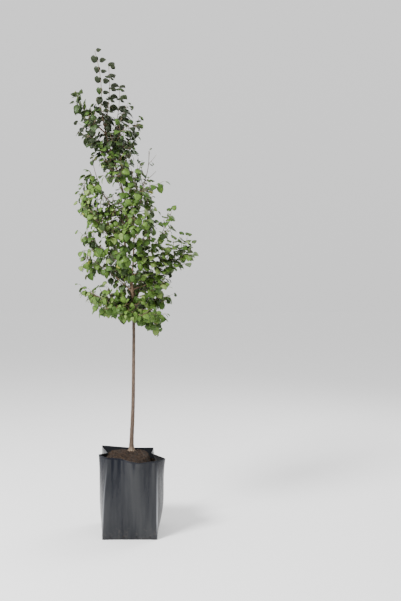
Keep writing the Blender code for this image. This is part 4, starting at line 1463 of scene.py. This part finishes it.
def leaf_form(arch, cup, wave, fuller):
    """A leaf 1 long that lies along +X with its upper face to +Z and its stalk's end at 0."""
    bm = bmesh.new()
    uv = bm.loops.layers.uv.new("UVMap")
    under = bm.faces.layers.int.new("underside")
    sheets, flat = leaf_sheets(bm, leaf_rows(fuller), (arch, cup, wave))
    for side, sheet in enumerate(sheets):
        for lower, upper in zip(sheet, sheet[1:]):
            for i in range(len(lower) - 1):
                a, b, c, d = lower[i], lower[i + 1], upper[i + 1], upper[i]
                for corners in ((a, b, c), (a, c, d)):
                    if len(set(corners)) < 3:
                        continue
                    face = bm.faces.new(corners[::-1] if side else corners)
                    face[under] = side
                    for loop in face.loops:
                        place = flat[loop.vert]
                        loop[uv].uv = (place.x * BLADE_MAP + 0.1, place.y * BLADE_MAP + 0.5)
    mesh = bpy.data.meshes.new("leaf")
    bm.to_mesh(mesh)
    bm.free()
    mesh.shade_smooth()
    return mesh


class Leaf(NamedTuple):
    """A leaf or a bud: where it starts, how it is turned, its size, its form and its shade."""

    place: Vector
    turn: Quaternion
    size: float
    form: int = 0
    tint: str | None = None


LEAF_PITCHES = {"stem": 0.023, "side": 0.023, "fine": 0.018, "spur": 0.023, "long": 0.019}
WHIP_LEAF_PITCH = 0.027
LEAF_LENGTHS = (0.027, 0.043)
WHIP_LEAF_LENGTHS = (0.043, 0.051)
LAST_LEAF = 0.75  # how large the leaf at a shoot's tip is
HEART_LEAF = 0.92  # how large the hanging leaves of a whip are
STALK_LENGTHS = (0.012, 0.022)
WHIP_STALK = 0.8
STALK_RADIUS = 0.00055
STALK_KNEE = 0.6  # where the stalk bends, as a share of its length
LEAF_BARE = 0.012  # a shoot's first leaf is this far along it
LEAF_TILT = 0.7
LEAF_SWAYS = 0.3
LEVEL_FORM = 5  # the form of the level leaves
LIGHT_SIDE = Vector((-0.15, -0.55, 0))  # the side that the blades turn their faces to

# Shades of green, from the almost black leaves of the top, which are painted shade, to the pale ones
# lower down: the upper face and the underside.
TINTS = {
    "shadow": ((0.014, 0.022, 0.006), (0.062, 0.078, 0.040)),
    "deep": ((0.022, 0.045, 0.007), (0.080, 0.115, 0.045)),
    "leaf": ((0.042, 0.090, 0.010), (0.110, 0.165, 0.055)),
    "fresh": ((0.078, 0.145, 0.020), (0.145, 0.210, 0.080)),
    "pale": ((0.140, 0.210, 0.050), (0.190, 0.255, 0.110)),
    "yellow": ((0.160, 0.185, 0.025), (0.190, 0.220, 0.065)),
}
TINT_NAMES = tuple(TINTS)
LEAF_GLOSS = 0.25
VEIN_SLANT = 0.75
VEIN_RATE = 52  # how closely the side veins stand
VEIN_DEPTH = 0.0006
MIDRIB = (0.030, 0.004)  # half its width on the map, where its groove begins and where it is deepest
# Where a spray sits paints light and shade into its leaves' colour: darkest at the top, lighter lower down
# and further out.
DARK_TOP = 2.14  # above this height the leaves are darkest
LIGHTEST_DEPTH = 0.46  # how far below that they are lightest
SHADES_DOWN = 2.4
SHADES_OUT = 0.35  # for each CROWN_HALF outward
CROWN_HALF = 0.2
SPRAY_VARIES = 0.8
LEAF_VARIES = 1.1
YELLOWED = 0.012  # the share of leaves that have turned, on sprays lighter than this:
YELLOW_FROM = 0.8


def spray_tint(place, draw):
    """The shade of a spray of leaves by its place, painted light and shade: dark at the top, lighter low
    and outside.
    """
    middle = stem_at(min(place.z, STEM[-1].z))[0]
    outside = Vector((place.x - middle.x, place.y)).length / CROWN_HALF
    down = min(1, max(0, (DARK_TOP - place.z) / LIGHTEST_DEPTH))
    shade = -0.1 + SHADES_DOWN * down + SHADES_OUT * outside
    return shade + draw.uniform(-SPRAY_VARIES, SPRAY_VARIES)


def leaf_tint(shade, draw):
    if shade > YELLOW_FROM and draw.random() < YELLOWED:
        return "yellow"
    step = round(shade + draw.uniform(-LEAF_VARIES, LEAF_VARIES))
    return TINT_NAMES[max(0, min(4, step))]


def is_whip(shoot):
    return shoot.kind == "stem" and not shoot.item.fine


def leaf_stance(shoot, last, ahead, side, outward):
    """The way a leaf's midrib points, the way its face looks, and how much both of them vary.

    On a whip the leaves to the right stand level, and those to the left hang.
    """
    if is_whip(shoot) and side.x > 0:
        return side * 1.2 + ahead * 0.3 + UP * 0.35, UP * 1.6 - LIGHT_SIDE, 0.4
    if is_whip(shoot):
        return side * 0.45 - UP * 1.1, LIGHT_SIDE * 2.5 + outward * 0.2, 0.5
    droop = shoot.item.droop
    axis = side * 0.9 + ahead * (1.6 if last else 0.5) - UP * (droop + 0.1)
    return axis, UP + outward * (0.3 + droop * 0.5) + LIGHT_SIDE * droop, 1.0


def leaf_on(shoot, distance, left, last, shade, draw):
    """A leaf at a distance along a shoot, its stalk as a line with radii, and the bud above it."""
    item = shoot.item
    whip = is_whip(shoot)
    root, ahead = along_shoot(shoot.points, distance)
    side = side_of(item, ahead, item.ranks + draw.uniform(-RANKS_VARY, RANKS_VARY), left)
    if whip and last:
        side.x = abs(side.x)
    level = whip and side.x > 0
    middle = stem_at(min(root.z, STEM[-1].z))[0]
    outward = Vector((root.x - middle.x, root.y - middle.y, 0)).normalized()
    axis, face, loose = leaf_stance(shoot, last, ahead, side, outward)
    axis += Vector([draw.uniform(-LEAF_SWAYS, LEAF_SWAYS) for _ in range(3)]) * loose
    axis.normalize()
    stalk = side * 0.6 + UP * 0.6 if whip else axis + UP * 0.35 + ahead * 0.3
    reach = draw.uniform(*STALK_LENGTHS) * (WHIP_STALK if whip else 1.0)
    knee = root + stalk.normalized() * reach * STALK_KNEE
    end = knee + axis * reach * (1 - STALK_KNEE)
    face -= axis * face.dot(axis)
    tilt = draw.uniform(-LEAF_TILT, LEAF_TILT) * loose
    face = Matrix.Rotation(tilt, 3, axis) @ face.normalized()
    turn = Matrix((axis, face.cross(axis), face)).transposed().to_quaternion()
    size = draw.uniform(*(WHIP_LEAF_LENGTHS if whip else LEAF_LENGTHS)) * (LAST_LEAF if last else 1.0)
    size *= item.large * (HEART_LEAF if whip and not level else 1.0)
    form = LEVEL_FORM if level else draw.randrange(len(LEAF_FORMS))
    leaf = Leaf(end, turn, size, form, leaf_tint(shade, draw))
    radii = [STALK_RADIUS * 1.2, STALK_RADIUS, STALK_RADIUS * 0.8]
    bud = Leaf(root, (ahead + side * 0.6).to_track_quat("Z", "Y"), draw.uniform(0.8, 1.2))
    return leaf, ([root, knee, end], radii), bud


def leaves_of(shoot, draw):
    """The leaves of a shoot, from its root to its tip, one side after the other."""
    item = shoot.item
    length = path_length(shoot.points)
    pitch = WHIP_LEAF_PITCH if is_whip(shoot) else LEAF_PITCHES[shoot.kind]
    bare = LEAF_BARE * 1.5 + item.clear * length if shoot.kind == "stem" else LEAF_BARE
    count = max(1, round((length - bare) / pitch))
    shade = spray_tint(shoot.points[-1], draw) + item.tint
    for i in range(count + 1):
        if draw.random() > item.leafing and shoot.kind != "long":
            continue
        distance = bare + (length - bare - 0.001) * i / count
        last = i == count and shoot.kind != "spur"
        yield leaf_on(shoot, distance, i % 2 == 1, last, shade, draw)


top_heights = [STEM_LEAFY + (STEM[-1].z - STEM_LEAFY) * i / SHOOT_STEPS for i in range(SHOOT_STEPS + 1)]
top_points = [stem_at(height)[0] for height in top_heights]
stem_top = Shoot(LEADER, "spur", top_points, SHOOT_TIP_RADIUS, SHOOT_TIP_RADIUS)
grown = []
for index, shoot in enumerate([*shoots, stem_top]):
    grown += leaves_of(shoot, random.Random(f"{shoot.item.name} {index}"))
leaves, stalks, buds = zip(*grown)

leafing = Recipe("leafing", Shapes="Collection", Upper="Material", Under="Material")
shapes = leafing.node(
    "GeometryNodeCollectionInfo", None,
    {"Collection": leafing.input("Shapes"), "Separate Children": True, "Reset Children": True},
)
blades = leafing.node("GeometryNodeInstanceOnPoints", None, {
    "Points": leafing.input("Geometry"), "Instance": shapes, "Pick Instance": True,
    "Instance Index": leafing.attribute("form", "INT"),
    "Rotation": leafing.attribute("turn", "QUATERNION"), "Scale": leafing.attribute("size"),
})
blades = leafing.node("GeometryNodeRealizeInstances", None, {0: blades})
blades = leafing.node(
    "GeometryNodeSetMaterial", None, {"Geometry": blades, "Material": leafing.input("Upper")}
)
leafing.finish(leafing.node("GeometryNodeSetMaterial", None, {
    "Geometry": blades, "Selection": leafing.attribute("underside", "INT"),
    "Material": leafing.input("Under"),
}))


def leaf_points(name, found):
    """An object of points for the recipe above, one for each leaf or bud."""
    made = new_object(name, [entry.place for entry in found], [])
    for label, kind, values in (
        ("form", "INT", [entry.form for entry in found]),
        ("size", "FLOAT", [entry.size for entry in found]),
        ("turn", "QUATERNION", [part for entry in found for part in entry.turn]),
    ):
        made.data.attributes.new(label, kind, "POINT").data.foreach_set("value", values)
    return made


def leaf_finish(name, colour):
    """One shade of leaf: its colour is plain, its veins are grooves along the blade's own map."""
    made = Finish(name, Specular_IOR_Level=LEAF_GLOSS)
    made.shader.inputs["Base Color"].default_value = (*colour, 1)
    blade = made.node("ShaderNodeUVMap", {"uv_map": "UVMap"})
    along = made.node("ShaderNodeSeparateXYZ", inputs={0: blade}, output="X")
    across = made.node("ShaderNodeSeparateXYZ", inputs={0: blade}, output="Y") - 0.5
    out = made.node("ShaderNodeMath", {"operation": "ABSOLUTE"}, {0: across})
    slanted = (along - out * VEIN_SLANT) * VEIN_RATE
    groove = made.between(made.node("ShaderNodeMath", {"operation": "SINE"}, {0: slanted}), 0.70, 1.0)
    midrib = made.between(out, *MIDRIB)
    veins = made.node("ShaderNodeMath", {"operation": "MAXIMUM"}, {0: groove, 1: midrib})
    made.paint("Roughness", made.between(made.noise(300, 3), 0.3, 0.7, 0.40, 0.56) + veins * 0.08)
    made.relief(veins * -1 + made.noise(1500, 2) * 0.25, VEIN_DEPTH)
    return made.material


leaf_shapes = shape_set("leaf forms", [leaf_form(*form) for form in LEAF_FORMS])
for tint, (upper, under) in TINTS.items():
    foliage = leaf_points("leaves_" + tint, [leaf for leaf in leaves if leaf.tint == tint])
    leafing.make(
        foliage, Shapes=leaf_shapes, Upper=leaf_finish(tint + "_upper", upper),
        Under=leaf_finish(tint + "_underside", under),
    )
    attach(foliage, "root")
    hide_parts(*masses)

# The leaf stalks and buds. The stalks are thin and yellow-green, redder in the light. A small
# red-brown bud sits on the shoot above each stalk.

BUD_LENGTH = 0.0042
BUD_RADIUS = 0.0013
BUD_TAPER = 0.45
STALK_GREEN = (0.150, 0.160, 0.050)
STALK_RED = (0.200, 0.120, 0.060)
BUD_RED = (0.16, 0.040, 0.022)
BUD_BROWN = (0.15, 0.10, 0.035)
stalk_skin = Finish("leaf_stalk", Specular_IOR_Level=0.45)
stalk_skin.paint("Base Color", stalk_skin.mixed(stalk_skin.noise(60, 2), STALK_GREEN, STALK_RED))
stalk_skin.paint("Roughness", stalk_skin.between(stalk_skin.noise(400, 2), 0.3, 0.7, 0.45, 0.60))
petioles = limb_lines("leaf_stalks", stalks)
limbs.make(petioles, Sides=5, Relief=0.0, Grain=100.0, Finish=stalk_skin.material)
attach(petioles, "root")
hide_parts(*masses)


def bud_form():
    """A blunt bud that stands on its wider end."""
    bm = bmesh.new()
    bmesh.ops.create_uvsphere(bm, u_segments=6, v_segments=5, radius=1)
    for vertex in bm.verts:
        taper = 1 - BUD_TAPER * max(0, vertex.co.z)
        high = (vertex.co.z + 0.8) * BUD_LENGTH / 2
        vertex.co = Vector((vertex.co.x * BUD_RADIUS * taper, vertex.co.y * BUD_RADIUS * taper, high))
    mesh = bpy.data.meshes.new("bud")
    bm.to_mesh(mesh)
    bm.free()
    return mesh


bud_skin = Finish("bud", Specular_IOR_Level=0.5)
bud_skin.paint("Base Color", bud_skin.mixed(bud_skin.noise(300, 2), BUD_RED, BUD_BROWN))
bud_skin.paint("Roughness", bud_skin.between(bud_skin.noise(800, 2), 0.3, 0.7, 0.35, 0.5))
bud_points = leaf_points("buds", buds)
leafing.make(
    bud_points, Shapes=shape_set("bud", [bud_form()]), Upper=bud_skin.material, Under=bud_skin.material
)
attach(bud_points, "root")
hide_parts(*masses)

# The studio. The floor is a wide sheet of pale paper, the surround is even and almost white, and
# two large soft lamps stand to the left in front and to the right behind.

FLOOR_SIZE = 60.0
PAPER = ((0.91, 0.91, 0.91), (0.93, 0.93, 0.93))
SURROUND = 1.15
HORIZON = 0.90  # the surround's brightness at the floor's far edge, as a share of the zenith's
HORIZON_RISE = 0.6
floor = new_object("floor", [
    (x * FLOOR_SIZE, y * FLOOR_SIZE, 0) for x, y in ((-1, -1), (1, -1), (1, 1), (-1, 1))
], [(0, 1, 2, 3)])
paper = Finish("pale_floor", Roughness=0.9, Specular_IOR_Level=0.2)
paper.paint("Base Color", paper.mixed(paper.noise(3, 2), *PAPER))
floor.data.materials.append(paper.material)

world = bpy.data.worlds.new("white surround")
world.use_nodes = True
sky = Graph(world.node_tree)
sky_height = sky.node(
    "ShaderNodeSeparateXYZ", inputs={0: sky.node("ShaderNodeTexCoord", output="Generated")}, output="Z"
)
sky_tone = sky.node(
    "ShaderNodeMapRange", inputs={"Value": sky_height, 1: 0.0, 2: HORIZON_RISE, 3: HORIZON, 4: 1.0}
)
background = world.node_tree.nodes["Background"]
sky.feed(background.inputs["Color"], sky_tone)
background.inputs["Strength"].default_value = SURROUND
bpy.context.scene.world = world

# Each lamp: its place, the point it faces, its size in metres, and its power in watts.
LAMPS = {
    "key": ((-2.8, -2.6, 4.2), (0.0, 0.0, 1.2), 1.3, 540.0),
    "rim": ((2.8, 2.2, 3.6), (0.0, 0.0, 1.0), 2.0, 110.0),
}
for label, (place, target, size, power) in LAMPS.items():
    data = bpy.data.lights.new(label, "AREA")
    data.energy = power
    data.size = size
    lamp = bpy.data.objects.new(label, data)
    lamp.visible_camera = False
    lamp.location = place
    lamp.rotation_euler = (Vector(target) - Vector(place)).to_track_quat("-Z", "Y").to_euler()
    bpy.context.scene.collection.objects.link(lamp)

# The camera. It stands level, in front of the bag and at the height of the tree's middle, with the
# tree left of the middle of its picture.

PICTURE_HEIGHT = 601
FOCAL_PIXELS = 640
OFF_CENTRE_PIXELS = 70.5
CAMERA_PLACE = (0.0, -3.2, 1.15)
camera_data = bpy.data.cameras.new("camera")
camera_data.sensor_width = 36
camera_data.lens = FOCAL_PIXELS / PICTURE_HEIGHT * camera_data.sensor_width
camera_data.shift_x = OFF_CENTRE_PIXELS / PICTURE_HEIGHT
camera = bpy.data.objects.new("camera", camera_data)
camera.location = CAMERA_PLACE
camera.rotation_euler = (math.pi / 2, 0, 0)
bpy.context.scene.collection.objects.link(camera)
bpy.context.scene.camera = camera
